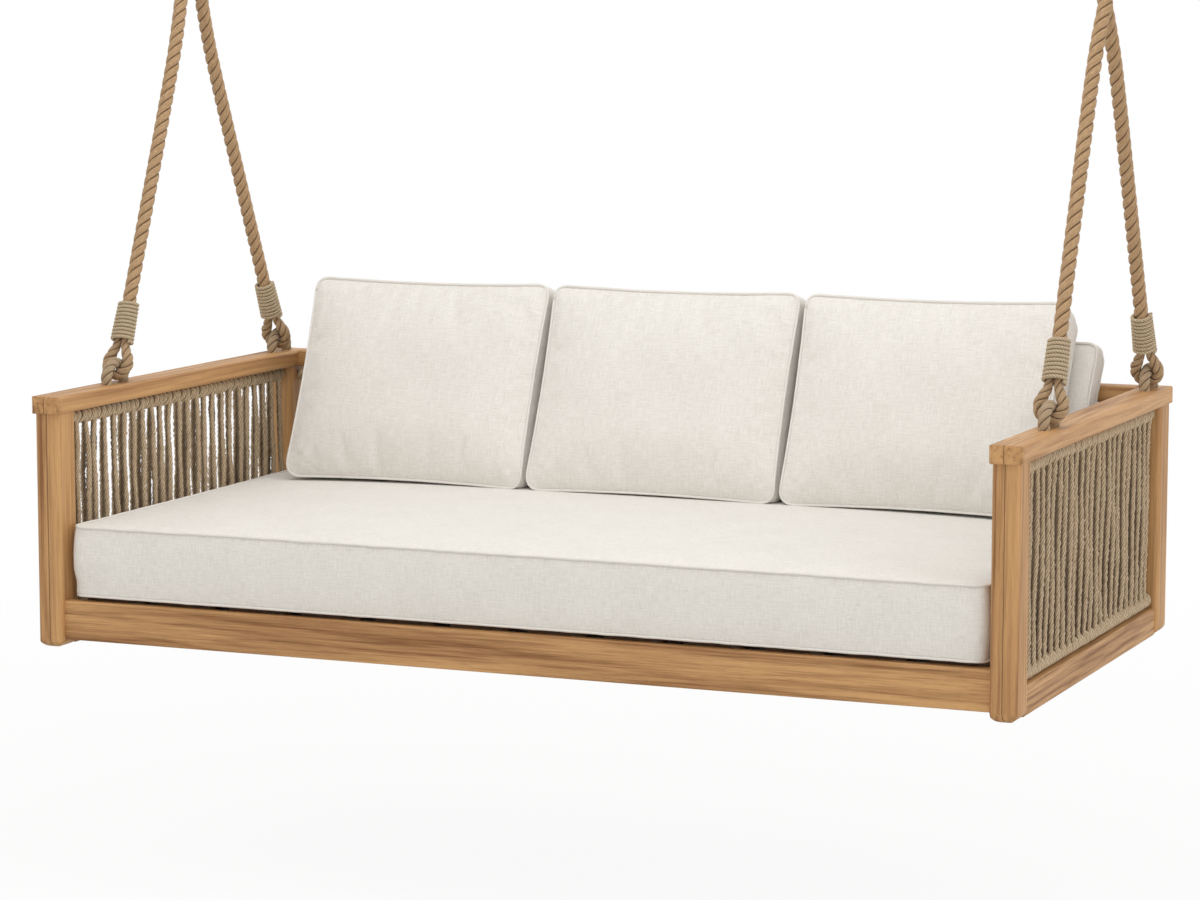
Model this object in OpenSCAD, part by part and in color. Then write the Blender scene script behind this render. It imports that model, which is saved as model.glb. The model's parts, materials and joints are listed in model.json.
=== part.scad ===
// Hanging swing bed: a teak frame with laced sides, four loose cushions and two rope slings.
// Millimetres. X runs along the bed, Y to its back, Z up. The origin lies on the ceiling,
// midway between the two ceiling brackets.

/* [Bed frame] */
// Width over the two arm rails
bed_w = 1980; // [1700:10:2300]
// Depth over the ends of the arm rails
bed_d = 1050; // [960:10:1200]
// Height of a post, from its foot to the arm rail
post_h = 456; // [400:2:540]
// Width of a post, across the bed
post_w = 52; // [46:1:64]
// Depth of a post, front to back
post_d = 68; // [60:1:84]
// Rounding of a post's upright edges
post_r = 10; // [4:0.5:12]
// Rounding of a post's foot, seen from the side and the front
foot_r = 22; // [6:1:22]
// Thickness of an arm rail
arm_t = 34; // [30:1:46]
// How far an arm rail stands out past the post on each side
arm_over = 6; // [3:0.5:12]
// How far an arm rail runs past the posts at each end
arm_end = 10; // [4:1:20]
// Corner radius of an arm rail, seen from above
arm_r = 18; // [8:1:26]
// Rounding of an arm rail's long edges
arm_edge = 7; // [3:0.5:9]
// Rounding of the rails' long edges
edge_r = 4; // [2:0.5:6]

/* [Rails and seat deck] */
// Height of the front and back rails
rail_h = 76; // [60:1:100]
// Thickness of the front and back rails
rail_t = 30; // [26:1:36]
// Height of the rails' underside above the feet
rail_z = 16; // [8:1:30]
// How far the front and back rails stand back from the faces of the posts
rail_set = 14; // [4:1:20]
// Height of a side rail
side_h = 54; // [46:1:70]
// Thickness of a side rail
side_t = 40; // [34:1:44]
// Height of the side rails' underside above the feet
side_z = 2; // [0:1:12]
// Length of the tenons of all the lower rails
tenon_l = 22; // [16:1:26]
// Thickness of the tenons
tenon_t = 14; // [10:1:16]
// Height of the top rail of the back
cap_h = 34; // [28:1:34]
// Depth of the top rail of the back
cap_d = 44; // [38:1:54]
// Width of an upright of the back
stile_w = 40; // [30:1:60]
// Depth of an upright of the back
stile_d = 32; // [28:1:40]
// Number of seat slats
slat_n = 12; // [8:1:14]
// Width of a slat
slat_w = 90; // [60:2:100]
// Thickness of a slat
slat_t = 20; // [16:1:26]
// How far the slats stand proud of the front rail
slat_proud = 4; // [2:1:14]
// Width of the strips that carry the slats
ledger_w = 24; // [18:1:24]
// Height of the strips that carry the slats
ledger_h = 30; // [20:1:40]
// Height of the bearer under the middle of the slats
bearer_h = 55; // [45:1:58]
// Thickness of the bearer
bearer_t = 36; // [28:1:50]
// Diameter of the dowels between arm rails, posts and the back's top rail
dowel_d = 10; // [8:1:12]
// Length of a dowel
dowel_l = 40; // [30:2:44]

/* [Laced panels] */
// Diameter of the hidden rods that the cord is laced round
rod_d = 8; // [8:1:14]
// Diameter of the lacing cord
cord_d = 9.5; // [6:0.5:10]
// Loops of cord in a side panel
side_loops = 24; // [14:1:24]
// Pairs of strands in each bay of the back
back_pairs = 16; // [8:1:20]
// Distance of a rod's centre from the rail beside it
rod_gap = 16; // [16:0.5:22]
// How deep a rod sits in the posts
rod_seat = 12; // [8:1:16]
// Clearance between the cord and its rod
lace_gap = 0.3; // [0.2:0.1:0.6]

/* [Rope slings] */
// Diameter of the hanging rope
rope_d = 28; // [20:1:28]
// Diameter of the rope loops on the arm rails, and of the eyes in them
loop_d = 22; // [16:1:22]
// Radius of a loop's arch, at the middle of its rope
loop_rad = 33; // [33:1:36]
// Height of the arch's centre above the arm rail
loop_lift = 7; // [4:1:16]
// Distance of the front legs' feet from the front ends of the arm rails
foot_front_in = 285; // [240:5:320]
// Distance of the rear legs' feet from the rear ends of the arm rails
foot_rear_in = 95; // [90:1:130]
// Turns of a whipping
whip_turns = 10; // [5:1:12]
// Diameter of the whipping cord
whip_d = 7; // [5:0.5:7.2]
// Distance from turn to turn of a whipping
whip_pitch = 7.8; // [7.8:0.1:8.5]
// Height of the lashing that holds a sling together under its thimble
lash_h = 56; // [36:2:60]
// Thickness of that lashing
lash_t = 6; // [3:0.5:8]
// Clearance of the lashing round the two legs in it
lash_gap = 0.6; // [0.4:0.1:1.5]
// Thickness of the steel plates that anchor the loops
anchor_t = 3; // [2:0.5:5]
// Wall of the sleeves on those plates
sleeve_t = 2; // [1.5:0.25:3]
// Length of the sleeves inside the arm rail
sleeve_l = 16; // [8:1:22]

/* [Ceiling fittings] */
// Width of a ceiling plate, along the bed
plate_w = 90; // [70:2:120]
// Length of a ceiling plate, front to back
plate_l = 140; // [130:2:180]
// Thickness of a ceiling plate
plate_t = 8; // [6:1:12]
// Distance between the two bolt holes of a ceiling plate
bolt_gap = 100; // [90:2:110]
// Diameter of the bolt holes
bolt_d = 11; // [9:0.5:14]
// Diameter of the pins
pin_d = 14; // [12:1:16]
// Clearance between a pin and what turns on it
pin_gap = 0.05; // [0.02:0.01:0.1]
// Thickness of the cheeks of brackets and hangers
cheek_t = 8; // [6:1:10]
// Width of a hanger's upper eye
eye_w = 26; // [20:1:32]
// Gap at each side of an eye or thimble, between its cheeks
side_gap = 0.4; // [0.3:0.1:0.8]
// Height of the swing pin below the ceiling
swing_z = 42; // [38:1:46]
// Width of a thimble
thimble_w = 34; // [32:1:38]

/* [Cushions] */
// Height of the seat cushion at its edges
seat_t = 144; // [90:2:150]
// How much the seat cushion is crowned
seat_crown = 16; // [6:1:16]
// Gap between the seat cushion and the posts
seat_gap = 6; // [4:1:20]
// How far the seat cushion's front stands back from the front rail's face
seat_set = 2; // [0:1:20]
// How far the sides of a cushion are drawn in between its corners
draw_in = 6; // [2:0.5:10]
// Gap between the back cushions and the posts, at each end of the row
back_side = 111.5; // [20:0.5:160]
// Gap between two back cushions
back_gap = 3; // [2:0.5:12]
// Height of a back cushion
back_h = 396; // [340:4:440]
// Thickness of a back cushion at its edges
back_t = 90; // [60:2:96]
// How much the front of a back cushion is crowned
back_crown = 30; // [16:1:36]
// How far the back cushions lean back, in degrees
back_lean = 23; // [16:0.5:26]
// Height of the pad behind the back cushions
pad_h = 320; // [270:5:330]
// Thickness of that pad at its edges
pad_t = 52; // [40:2:60]
// Gap between that pad and the posts, at each end
pad_side = 72; // [20:2:140]

/* [Hidden] */
$fn = 48;

// A sling's route. A leg is straight, apart from the way that it moves aside for the other:
// distance from the middle of the sling, and share of the way down to the leg's foot.
rope_leg = [
    [0, 0.936], [0, 0.733], [0, 0.567], [0, 0.4], [1, 0.233], [5, 0.133], [11, 0.05], [13.6, 0.02]
];
// The crown over the thimble, from the top of the front leg to its highest point
rope_crown = [
    [14.4, 0, -262], [14.4, 0, -205], [22, 0, -172], [31, 0, -143], [34, 0, -125],
    [29, 0, -109], [17, 0, -97], [0, 0, -92]
];
// Where the lines of the front and rear legs end in their arm loops, and where they meet.
// The bed's middle lies in front of the slings by bed_y, so that it hangs level.
foot_low = -1050;
bed_y = -76;
foot_front = [0, bed_y - bed_d / 2 + foot_front_in, foot_low];
foot_rear = [0, bed_y + bed_d / 2 - foot_rear_in, foot_low];
leg_meet = [0, 0, -270];
// The middle of the thimble's round, and the radius of the rope's middle line on it
thimble_z = -126;
thimble_r = 34;
// Route of the rope in a lower eye: across, and up along the leg, from the arch it hangs on
eye_half = [[8.3, 52.5], [8.3, 44], [12, 30], [19, 14], [22.6, 0], [16, -16], [0, -22.6]];
// Radius of the rope there, thinner where it is spliced under the whipping
eye_radii = [8, 8, 9.2, 11, 11, 11, 11];

// Where the slings hold the bed. An end is -1 at the front and 1 at the back.
function foot(end) = end < 0 ? foot_front : foot_rear;
function lean(end) = atan(abs(foot(end).y) / (leg_meet.z - foot(end).z));
function loop_y(end) = foot(end).y + end * loop_rad * sin(lean(end));
function loop_z(end) = foot(end).z - loop_rad * cos(lean(end));
arm_top = loop_z(-1) - loop_lift;
foot_z = arm_top - arm_t - post_h;

// Middle line of an arm rail, and the faces of the posts
arm_w = post_w + 2 * arm_over;
arm_x = bed_w / 2 - arm_w / 2;
post_in = arm_x - post_w / 2;
post_face = bed_d / 2 - arm_end;
post_back = post_face - post_d;
arm_under = foot_z + post_h;

// Rails and deck, from the middle of the bed
rail_face = post_face - rail_set;
rail_in = rail_face - rail_t;
rail_top = foot_z + rail_z + rail_h;
side_top = foot_z + side_z + side_h;
deck_z = rail_top + slat_proud;
slat_gap = 2;
deck_end = 32;
cap_y = post_face - cap_d / 2;
rods_y = rail_face - rail_t / 2;
stile_x = (post_in - stile_w) / 3 + stile_w / 2;
tenon_clear = 1;
dowel_x = 8;
dowel_y = post_face - 10 - dowel_d / 2;
cap_peg = 16;
fit = 0.05;

// Lacing: rods, strands and their spacing
turn_steps = 3;
lace_r = (rod_d / 2 + cord_d / 2 + lace_gap) / cos(90 / turn_steps);
rod_top = arm_under - rod_gap;
rod_low = side_top + rod_gap;
rod_low_back = rail_top + rod_gap;
lace_len = 2 * post_back;
lace_edge = 16;
lace_pitch = (lace_len - 2 * lace_edge) / (side_loops - 0.5);

// Cushions
seat_front = -rail_face + seat_set;
seat_rear = post_back - seat_gap;
seat_len = 2 * (post_in - seat_gap);
seat_dep = seat_rear - seat_front;
seat_mid = (seat_rear + seat_front) / 2;
back_rear = post_face - cap_d;
back_bulge = 14;
back_w = (2 * (post_in - back_side) - 2 * back_gap) / 3;
back_step = back_w + back_gap;
pad_crown = 6;
pad_l = 2 * (post_in - pad_side);
rest = 0.3;

wood = "#B9895A";
rope_tan = "#B08D62";
cord_grey = "#8F7F68";
whip_pale = "#B3A48C";
linen = "#E3DFD8";
steel = "#3A3A3C";

// ---------- helpers ----------

// Rectangle with round corners, about its middle, of plain circles and squares
module round_rect(w, d, r) {
    square([w - 2 * r, d], center = true);
    square([w, d - 2 * r], center = true);
    for (x = [-1, 1], y = [-1, 1]) translate([x * (w / 2 - r), y * (d / 2 - r)]) circle(r);
}

// A straight bar along X, about its middle, with its long edges rounded
module bar_x(l, d, h, r = edge_r) {
    rotate([90, 0, 90]) linear_extrude(l, center = true) round_rect(d, h, r);
}

// The same bar along Y
module bar_y(l, w, h, r = edge_r) {
    rotate([90, 0, 0]) linear_extrude(l, center = true) round_rect(w, h, r);
}

module rod_x(l, d) { rotate([0, 90, 0]) cylinder(h = l, d = d, center = true); }

module rod_y(l, d) { rotate([90, 0, 0]) cylinder(h = l, d = d, center = true); }

// Places of what the bed carries: the bed's middle at foot level
module on_bed() { translate([0, bed_y, foot_z]) children(); }

function unit(v) = v / norm(v);
function square_to(n, t) = unit(n - (n * t) * t);
function tangents(p) =
    [for (i = [0 : len(p) - 1]) unit(p[min(i + 1, len(p) - 1)] - p[max(i - 1, 0)])];
function normals(t, first) =
    [for (i = 0, n = square_to(first, t[0]); i < len(t);
          i = i + 1, n = i < len(t) ? square_to(n, t[i]) : n) n];

// Smooth curve through points, with the given steps from each to the next
function between(a, b, c, d, t) =
    0.5 * (2 * b + (c - a) * t + (2 * a - 5 * b + 4 * c - d) * t * t
           + (3 * b - a - 3 * c + d) * t * t * t);
function smooth(p, steps) =
    let (last = len(p) - 1)
    [for (i = [0 : last - 1], j = [0 : steps - 1])
        between(p[max(i - 1, 0)], p[i], p[i + 1], p[min(i + 2, last)], j / steps), p[last]];

// A tube of one unbroken skin along points, with a radius for each point
module tube(p, radii, sides, first = [1, 0, 0]) {
    t = tangents(p);
    n = normals(t, first);
    last = len(p) - 1;
    skin = [for (i = [0 : last], j = [0 : sides - 1])
        let (a = 360 * (j + 0.5) / sides)
        p[i] + radii[i] * (cos(a) * n[i] + sin(a) * cross(t[i], n[i]))];
    walls = [for (i = [0 : last - 1], j = [0 : sides - 1])
        let (a = i * sides + j, b = i * sides + (j + 1) % sides)
        each [[a, b + sides, b], [a, a + sides, b + sides]]];
    caps = [for (j = [1 : sides - 2])
        each [[0, j, j + 1], [last * sides, last * sides + j + 1, last * sides + j]]];
    polyhedron(points = skin, faces = concat(walls, caps), convexity = 10);
}

function even(p, r) = [for (q = p) r];

// The least gap of a winding to itself: between points at least a turn's part apart
function least_gap(p, d, apart) =
    min([for (i = [0 : len(p) - 1 - apart], j = [i + apart : len(p) - 1]) norm(p[i] - p[j])]) - d;

// ---------- ceiling fittings ----------

// One cheek in the YZ plane with a round end at the pin
module cheek(w, drop, end_r, thick) {
    rotate([90, 0, 90]) linear_extrude(thick, center = true) difference() {
        union() {
            polygon([[-w / 2, 0], [w / 2, 0], [end_r, -drop], [-end_r, -drop]]);
            translate([0, -drop]) circle(end_r);
        }
        translate([0, -drop]) circle(d = pin_d + 2 * fit);
    }
}

module ceiling_bracket(side) {
    color(steel) translate([side * arm_x, 0, 0]) {
        translate([0, 0, -plate_t]) linear_extrude(plate_t) difference() {
            round_rect(plate_w, plate_l, 12);
            for (y = [-1, 1]) translate([0, y * bolt_gap / 2]) circle(d = bolt_d);
        }
        for (x = [-1, 1]) translate([x * (eye_w / 2 + side_gap + cheek_t / 2), 0, -plate_t])
            cheek(62, swing_z - plate_t, pin_d / 2 + 12, cheek_t);
    }
}

// A headed pin along X, about its middle, held by a ring at its far end
module pin(half) {
    rod_x(2 * half + 2, pin_d);
    for (x = [-1, 1]) translate([x * (half + 2.7), 0, 0]) rod_x(5, pin_d + 8);
}

module swing_pin(side) {
    color("#8A8D90") translate([side * arm_x, 0, -swing_z])
        pin(eye_w / 2 + side_gap + cheek_t);
}

// The hanger: an eye on the swing pin, and a fork round the thimble, a quarter turn apart
module hanger(side) {
    fork = thimble_w / 2 + side_gap;
    bridge = thimble_z + thimble_r + rope_d / 2 + 3;
    neck_r = pin_d / 2 + 9;
    color(steel) translate([side * arm_x, 0, 0]) difference() {
        union() {
            translate([0, 0, -swing_z]) rod_x(eye_w, 2 * neck_r);
            translate([-eye_w / 2, -neck_r, bridge]) cube([eye_w, 2 * neck_r, -swing_z - bridge]);
            translate([-neck_r, -fork - cheek_t, bridge])
                cube([2 * neck_r, 2 * (fork + cheek_t), 10]);
            for (y = [-1, 1]) translate([0, y * (fork + cheek_t / 2), 0]) {
                translate([-neck_r, -cheek_t / 2, thimble_z])
                    cube([2 * neck_r, cheek_t, bridge + 10 - thimble_z]);
                translate([0, 0, thimble_z]) rod_y(cheek_t, 2 * neck_r);
            }
        }
        translate([0, 0, -swing_z]) rod_x(eye_w + 2, pin_d + 2 * pin_gap);
        translate([0, 0, thimble_z]) rod_y(2 * (fork + cheek_t) + 2, pin_d + 2 * fit);
    }
}

module thimble_pin(side) {
    color("#8A8D90") translate([side * arm_x, 0, thimble_z]) rotate([0, 0, 90])
        pin(thimble_w / 2 + side_gap + cheek_t);
}

// A solid thimble: a grooved round with its bore, and a wedge that parts the rope's two legs
module thimble(side) {
    groove_r = rope_d / 2 + 0.8;
    rim_r = thimble_r + 3;
    color("#9A9DA0") translate([side * arm_x, 0, thimble_z]) difference() {
        union() {
            rotate([90, 0, 0]) rotate_extrude() difference() {
                translate([0, -thimble_w / 2]) square([rim_r, thimble_w]);
                translate([thimble_r, 0]) circle(groove_r);
            }
            rotate([90, 0, 0]) linear_extrude(20, center = true)
                polygon([[-16, -6], [16, -6], [6, -46], [-6, -46]]);
        }
        rod_y(thimble_w + 2, pin_d + 2 * pin_gap);
    }
}

// ---------- rope slings ----------

// The whole route: up the front leg, over the crown and down the rear leg
function backwards(p) = [for (i = [len(p) - 1 : -1 : 0]) p[i]];
function leg(end) = [for (p = rope_leg) [p.x, 0, 0] + leg_meet + p.y * (foot(end) - leg_meet)];
function rope_route(side) =
    let (up = [for (p = concat(leg(-1), rope_crown)) [side * (arm_x + p.x), p.y, p.z]],
         down = [for (p = concat(leg(1), most(rope_crown))) [side * (arm_x - p.x), p.y, p.z]])
    concat(up, backwards(down));

module rope(side) {
    route = smooth(rope_route(side), 2);
    color(rope_tan) tube(route, even(route, rope_d / 2), 10);
}

module stadium(gap, r) {
    square([gap, 2 * r], center = true);
    for (x = [-1, 1]) translate([x * gap / 2, 0]) circle(r);
}

// The lashing round both legs of a sling
module lashing(side) {
    legs = 2 * rope_crown[0].x;
    color(whip_pale) translate([side * arm_x, 0, rope_crown[1].z + 2]) mirror([0, 0, 1])
        linear_extrude(lash_h) difference() {
            stadium(legs, rope_d / 2 + lash_gap + lash_t);
            stadium(legs, rope_d / 2 + lash_gap);
        }
}

// A leg's own frame: its foot on the arm loop's arch, Z up along the rope
module on_leg(side, end) {
    translate([side * arm_x, 0, 0] + foot(end)) rotate([end * lean(end), 0, 0]) children();
}

function most(p) = [for (i = [0 : len(p) - 2]) p[i]];
function eye_route() =
    concat([for (p = eye_half) [p.x, 0, p.y]], backwards([for (p = most(eye_half)) [-p.x, 0, p.y]]));
function eye_widths() = concat(eye_radii, backwards(most(eye_radii)));

module eye(side, end) {
    scale_r = loop_d / 22;
    color(rope_tan) on_leg(side, end)
        tube(smooth(eye_route(), 2), smooth(eye_widths(), 2) * scale_r, 8, [0, 1, 0]);
}

// A whipping: one cord wound round the splice, wider towards the eye, with straight ends
whip_foot = 42;
whip_rings = 8;
whip_low = eye_half[0].x + eye_radii[0] + 0.3;
whip_top = rope_d / 2 + 0.3;
function whip_point(a) =
    let (turn = a / 360, core = whip_low + (whip_top - whip_low) * turn / whip_turns,
         r = (core + whip_d / 2) / cos(180 / whip_rings))
    [r * cos(a), r * sin(a), whip_foot + whip_d / 2 + whip_pitch * turn];
function whip_route() =
    let (wound = [for (i = [0 : whip_turns * whip_rings]) whip_point(360 * i / whip_rings)],
         last = len(wound) - 1)
    concat([wound[0] + [0, -whip_d, -whip_pitch * 0.03]], wound,
           [wound[last] + [0, whip_d, whip_pitch * 0.03]]);

module whipping(side, end) {
    route = whip_route();
    color(whip_pale) on_leg(side, end) tube(route, even(route, whip_d / 2), 6, [0, 0, 1]);
}

// The loop on the arm rail: an arch whose two ends go down through the rail
module arm_loop(side, end) {
    color(cord_grey) translate([side * arm_x, loop_y(end), loop_z(end)]) {
        rotate([90, 0, 90]) rotate_extrude(angle = 180) translate([loop_rad, 0]) circle(d = loop_d);
        for (y = [-1, 1]) translate([0, y * loop_rad, arm_under + anchor_t - loop_z(end)])
            cylinder(h = loop_z(end) - arm_under - anchor_t, d = loop_d);
    }
}

// The steel plate let into the underside of the rail, with a sleeve round each rope end
anchor_w = 42;
anchor_l = 2 * loop_rad + loop_d + 2 * sleeve_t + 8;
module anchor(side, end) {
    sleeve_d = loop_d + 2 * sleeve_t + 0.2;
    color("#8A8D90") translate([side * arm_x, loop_y(end), arm_under]) {
        difference() {
            linear_extrude(anchor_t) round_rect(anchor_w, anchor_l, 6);
            for (x = [-1, 1]) translate([x * anchor_w / 4, 0, -1]) cylinder(h = anchor_t + 2, d = 5);
        }
        for (y = [-1, 1]) translate([0, y * loop_rad, anchor_t]) difference() {
            cylinder(h = sleeve_l, d = sleeve_d);
            translate([0, 0, -1]) cylinder(h = sleeve_l + 2, d = loop_d + 0.2);
        }
    }
}

// ---------- frame ----------

// Both tenons of a corner, or their mortises when they are cut with a little more length
module rail_tenon(extra) {
    translate([-tenon_l - extra, -tenon_t / 2, 12]) cube([tenon_l + extra, tenon_t, rail_h - 24]);
}

module side_tenon(extra) {
    translate([-tenon_t / 2, 0, 10]) cube([tenon_t, tenon_l + extra, side_h - 20]);
}

module post(side, end) {
    color(wood) on_bed() difference() {
        translate([side * arm_x, end * (post_back + post_d / 2), 0]) intersection() {
            linear_extrude(post_h) round_rect(post_w, post_d, post_r);
            translate([0, 0, post_h]) rotate([90, 0, 0])
                linear_extrude(post_d, center = true) round_foot(post_w, post_h);
            translate([0, 0, post_h]) rotate([90, 0, 90])
                linear_extrude(post_w, center = true) round_foot(post_d, post_h);
        }
        // Mortises for the front or back rail, and for the side rail
        translate([side * post_in, end * (rail_face - rail_t / 2), rail_z])
            mirror([side > 0 ? 1 : 0, 0, 0]) rail_tenon(tenon_clear);
        translate([side * arm_x, end * post_back, side_z])
            mirror([0, end < 0 ? 1 : 0, 0]) side_tenon(tenon_clear);
        // Seats for the lacing rods and dowels
        for (z = [rod_top, rod_low]) translate([side * arm_x, end * post_back, z - foot_z])
            rod_y(2 * rod_seat, rod_d + 2 * fit);
        if (end > 0) for (z = [rod_top, rod_low_back])
            translate([side * post_in, rods_y, z - foot_z]) rod_x(2 * rod_seat, rod_d + 2 * fit);
        for (x = [-1, 1]) translate([side * arm_x + x * dowel_x, end * dowel_y, post_h])
            cylinder(h = dowel_l + 2, d = dowel_d + 2 * fit, center = true);
    }
}

// Side view of a post below its top edge: square above, its foot's two corners round
module round_foot(w, h) {
    translate([-w / 2, -h + foot_r]) square([w, h - foot_r]);
    translate([-w / 2 + foot_r, -h]) square([w - 2 * foot_r, foot_r]);
    for (x = [-1, 1]) translate([x * (w / 2 - foot_r), -h + foot_r]) circle(foot_r);
}

module arm(side) {
    color(wood) translate([side * arm_x, bed_y, arm_under]) difference() {
        intersection() {
            linear_extrude(arm_t) round_rect(arm_w, bed_d, arm_r);
            translate([0, 0, arm_t / 2]) bar_y(bed_d, arm_w, arm_t, arm_edge);
            translate([0, 0, arm_t / 2]) bar_x(arm_w, bed_d, arm_t, arm_edge);
        }
        for (end = [-1, 1]) {
            // Holes for the loop, and the recess for its anchor plate
            translate([0, loop_y(end) - bed_y, 0]) {
                translate([0, 0, -1]) linear_extrude(anchor_t + 1)
                    round_rect(anchor_w, anchor_l, 6);
                for (y = [-1, 1]) translate([0, y * loop_rad, -1]) {
                    cylinder(h = arm_t + 2, d = loop_d + 0.2);
                    cylinder(h = anchor_t + sleeve_l + 1.5, d = loop_d + 2 * sleeve_t + 0.4);
                }
            }
            // Dowel holes over the posts
            for (x = [-1, 1]) translate([x * dowel_x, end * dowel_y, 0])
                cylinder(h = dowel_l + 2, d = dowel_d + 2 * fit, center = true);
        }
        // Dowel holes for the back's top rail
        for (y = [-1, 1]) translate([-side * arm_w / 2, cap_y + y * cap_d / 4, arm_t - cap_h / 2])
            rod_x(2 * cap_peg + 1, dowel_d + 2 * fit);
    }
}

module side_rail(side) {
    color(wood) on_bed() translate([side * arm_x, 0, side_z]) {
        translate([0, 0, side_h / 2]) bar_y(2 * post_back, side_t, side_h);
        for (end = [-1, 1]) translate([0, end * post_back, 0])
            mirror([0, end < 0 ? 1 : 0, 0]) side_tenon(0);
    }
}

// The front or back rail between the posts
module cross_rail(end) {
    color(wood) on_bed() translate([0, end * (rail_face - rail_t / 2), rail_z]) {
        translate([0, 0, rail_h / 2]) bar_x(2 * post_in, rail_t, rail_h);
        for (side = [-1, 1]) translate([side * post_in, 0, 0])
            mirror([side > 0 ? 1 : 0, 0, 0]) rail_tenon(0);
    }
}

module back_top_rail() {
    len = 2 * (arm_x - arm_w / 2);
    color(wood) on_bed() translate([0, cap_y, post_h + arm_t - cap_h / 2]) difference() {
        bar_x(len, cap_d, cap_h);
        for (x = [-1, 1], y = [-1, 1]) translate([x * len / 2, y * cap_d / 4, 0])
            rod_x(2 * (dowel_l - cap_peg) + 1, dowel_d + 2 * fit);
    }
}

// An upright of the back, bored for the two rods that run through it
module back_stile(side) {
    h = post_h + arm_t - cap_h - (rail_z + rail_h);
    color(wood) on_bed() translate([side * stile_x, rods_y, rail_z + rail_h]) difference() {
        linear_extrude(h) round_rect(stile_w, stile_d, edge_r);
        for (z = [rod_top, rod_low_back]) translate([0, 0, z - rail_top])
            rod_x(stile_w + 2, rod_d + 2 * fit);
    }
}

// The strip behind the front rail, or before the back rail, that carries the slats' ends
module ledger(end) {
    color(wood) on_bed()
        translate([0, end * (rail_in - ledger_w / 2), deck_z - foot_z - slat_t - ledger_h / 2])
        bar_x(2 * (post_in - deck_end), ledger_w, ledger_h, 2);
}

module bearer() {
    half = arm_x - side_t / 2;
    color(wood) on_bed() translate([0, 0, deck_z - foot_z - slat_t - bearer_h / 2])
        bar_x(2 * half, bearer_t, bearer_h, 3);
}

module slats() {
    span = 2 * (post_in - deck_end) - slat_w;
    color("#C09A6C") on_bed() for (i = [0 : slat_n - 1])
        translate([-span / 2 + i * span / (slat_n - 1), 0, deck_z - foot_z - slat_t / 2])
            bar_y(2 * (rail_in - slat_gap), slat_w, slat_t, 3);
}

module dowels() {
    cap_x = arm_x - arm_w / 2;
    color("#CBA97C") on_bed() {
        for (side = [-1, 1], end = [-1, 1], x = [-1, 1])
            translate([side * arm_x + x * dowel_x, end * dowel_y, post_h])
                cylinder(h = dowel_l, d = dowel_d, center = true);
        for (side = [-1, 1], y = [-1, 1])
            translate([side * (cap_x + cap_peg - dowel_l / 2), cap_y + y * cap_d / 4,
                       post_h + arm_t - cap_h / 2])
                rod_x(dowel_l, dowel_d);
    }
}

// ---------- laced panels ----------

module lacing_rods_side(side) {
    color(steel) for (z = [rod_top, rod_low]) translate([side * arm_x, bed_y, z])
        rod_y(lace_len + 2 * rod_seat - 1, rod_d);
}

module lacing_rods_back() {
    color(steel) for (z = [rod_top, rod_low_back]) translate([0, bed_y + rods_y, z])
        rod_x(2 * (post_in + rod_seat) - 1, rod_d);
}

// The cord of a side panel: up outside, over the top rod, down inside, under the lower rod.
// It starts square on the side rail and ends square on it.
function over(y0, y1, z, dir) =
    [for (i = [0 : turn_steps]) let (a = 180 * i / turn_steps)
        [dir * lace_r * cos(a), y0 + (y1 - y0) * i / turn_steps, z + dir * lace_r * sin(a)]];
function lace_route() =
    let (y0 = -lace_len / 2 + lace_edge, step = lace_pitch / 4)
    concat([[lace_r, y0 - step, side_top], [lace_r, y0 - step, side_top + cord_d]],
           [for (i = [0 : side_loops - 1])
               let (y = y0 + i * lace_pitch)
               each concat(over(y, y + step, rod_top, 1),
                           i < side_loops - 1
                           ? over(y + 2 * step, y + 3 * step, rod_low, -1) : [])],
           [for (z = [cord_d, 0])
               [-lace_r, y0 + (side_loops - 1) * lace_pitch + 2 * step, side_top + z]]);

module lacing_side(side) {
    route = [for (p = lace_route()) [side * p.x, p.y, p.z]];
    color(cord_grey) translate([side * arm_x, bed_y, 0])
        tube(route, even(route, cord_d / 2), 6, [0, 1, 0]);
}

// The back's cord, plain: pairs of strands between two wound bands in each bay
module lacing_back() {
    bays = [[-post_in, -stile_x - stile_w / 2], [-stile_x + stile_w / 2, stile_x - stile_w / 2],
            [stile_x + stile_w / 2, post_in]];
    color(cord_grey) translate([0, bed_y + rods_y, 0]) for (bay = bays) {
        wide = bay[1] - bay[0] - 8;
        pitch = wide / back_pairs;
        translate([(bay[0] + bay[1]) / 2, 0, 0]) difference() {
            union() {
                for (z = [rod_top, rod_low_back]) translate([0, 0, z]) rod_x(wide, 2 * lace_r + 5);
                for (i = [0 : back_pairs - 1], y = [-1, 1])
                    translate([-wide / 2 + (i + 0.5 + y / 4) * pitch, y * lace_r, rod_low_back])
                        cylinder(h = rod_top - rod_low_back, d = cord_d);
            }
            for (z = [rod_top, rod_low_back]) translate([0, 0, z])
                rod_x(wide + 2, rod_d + 2 * lace_gap);
        }
    }
}

// ---------- cushions ----------

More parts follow.
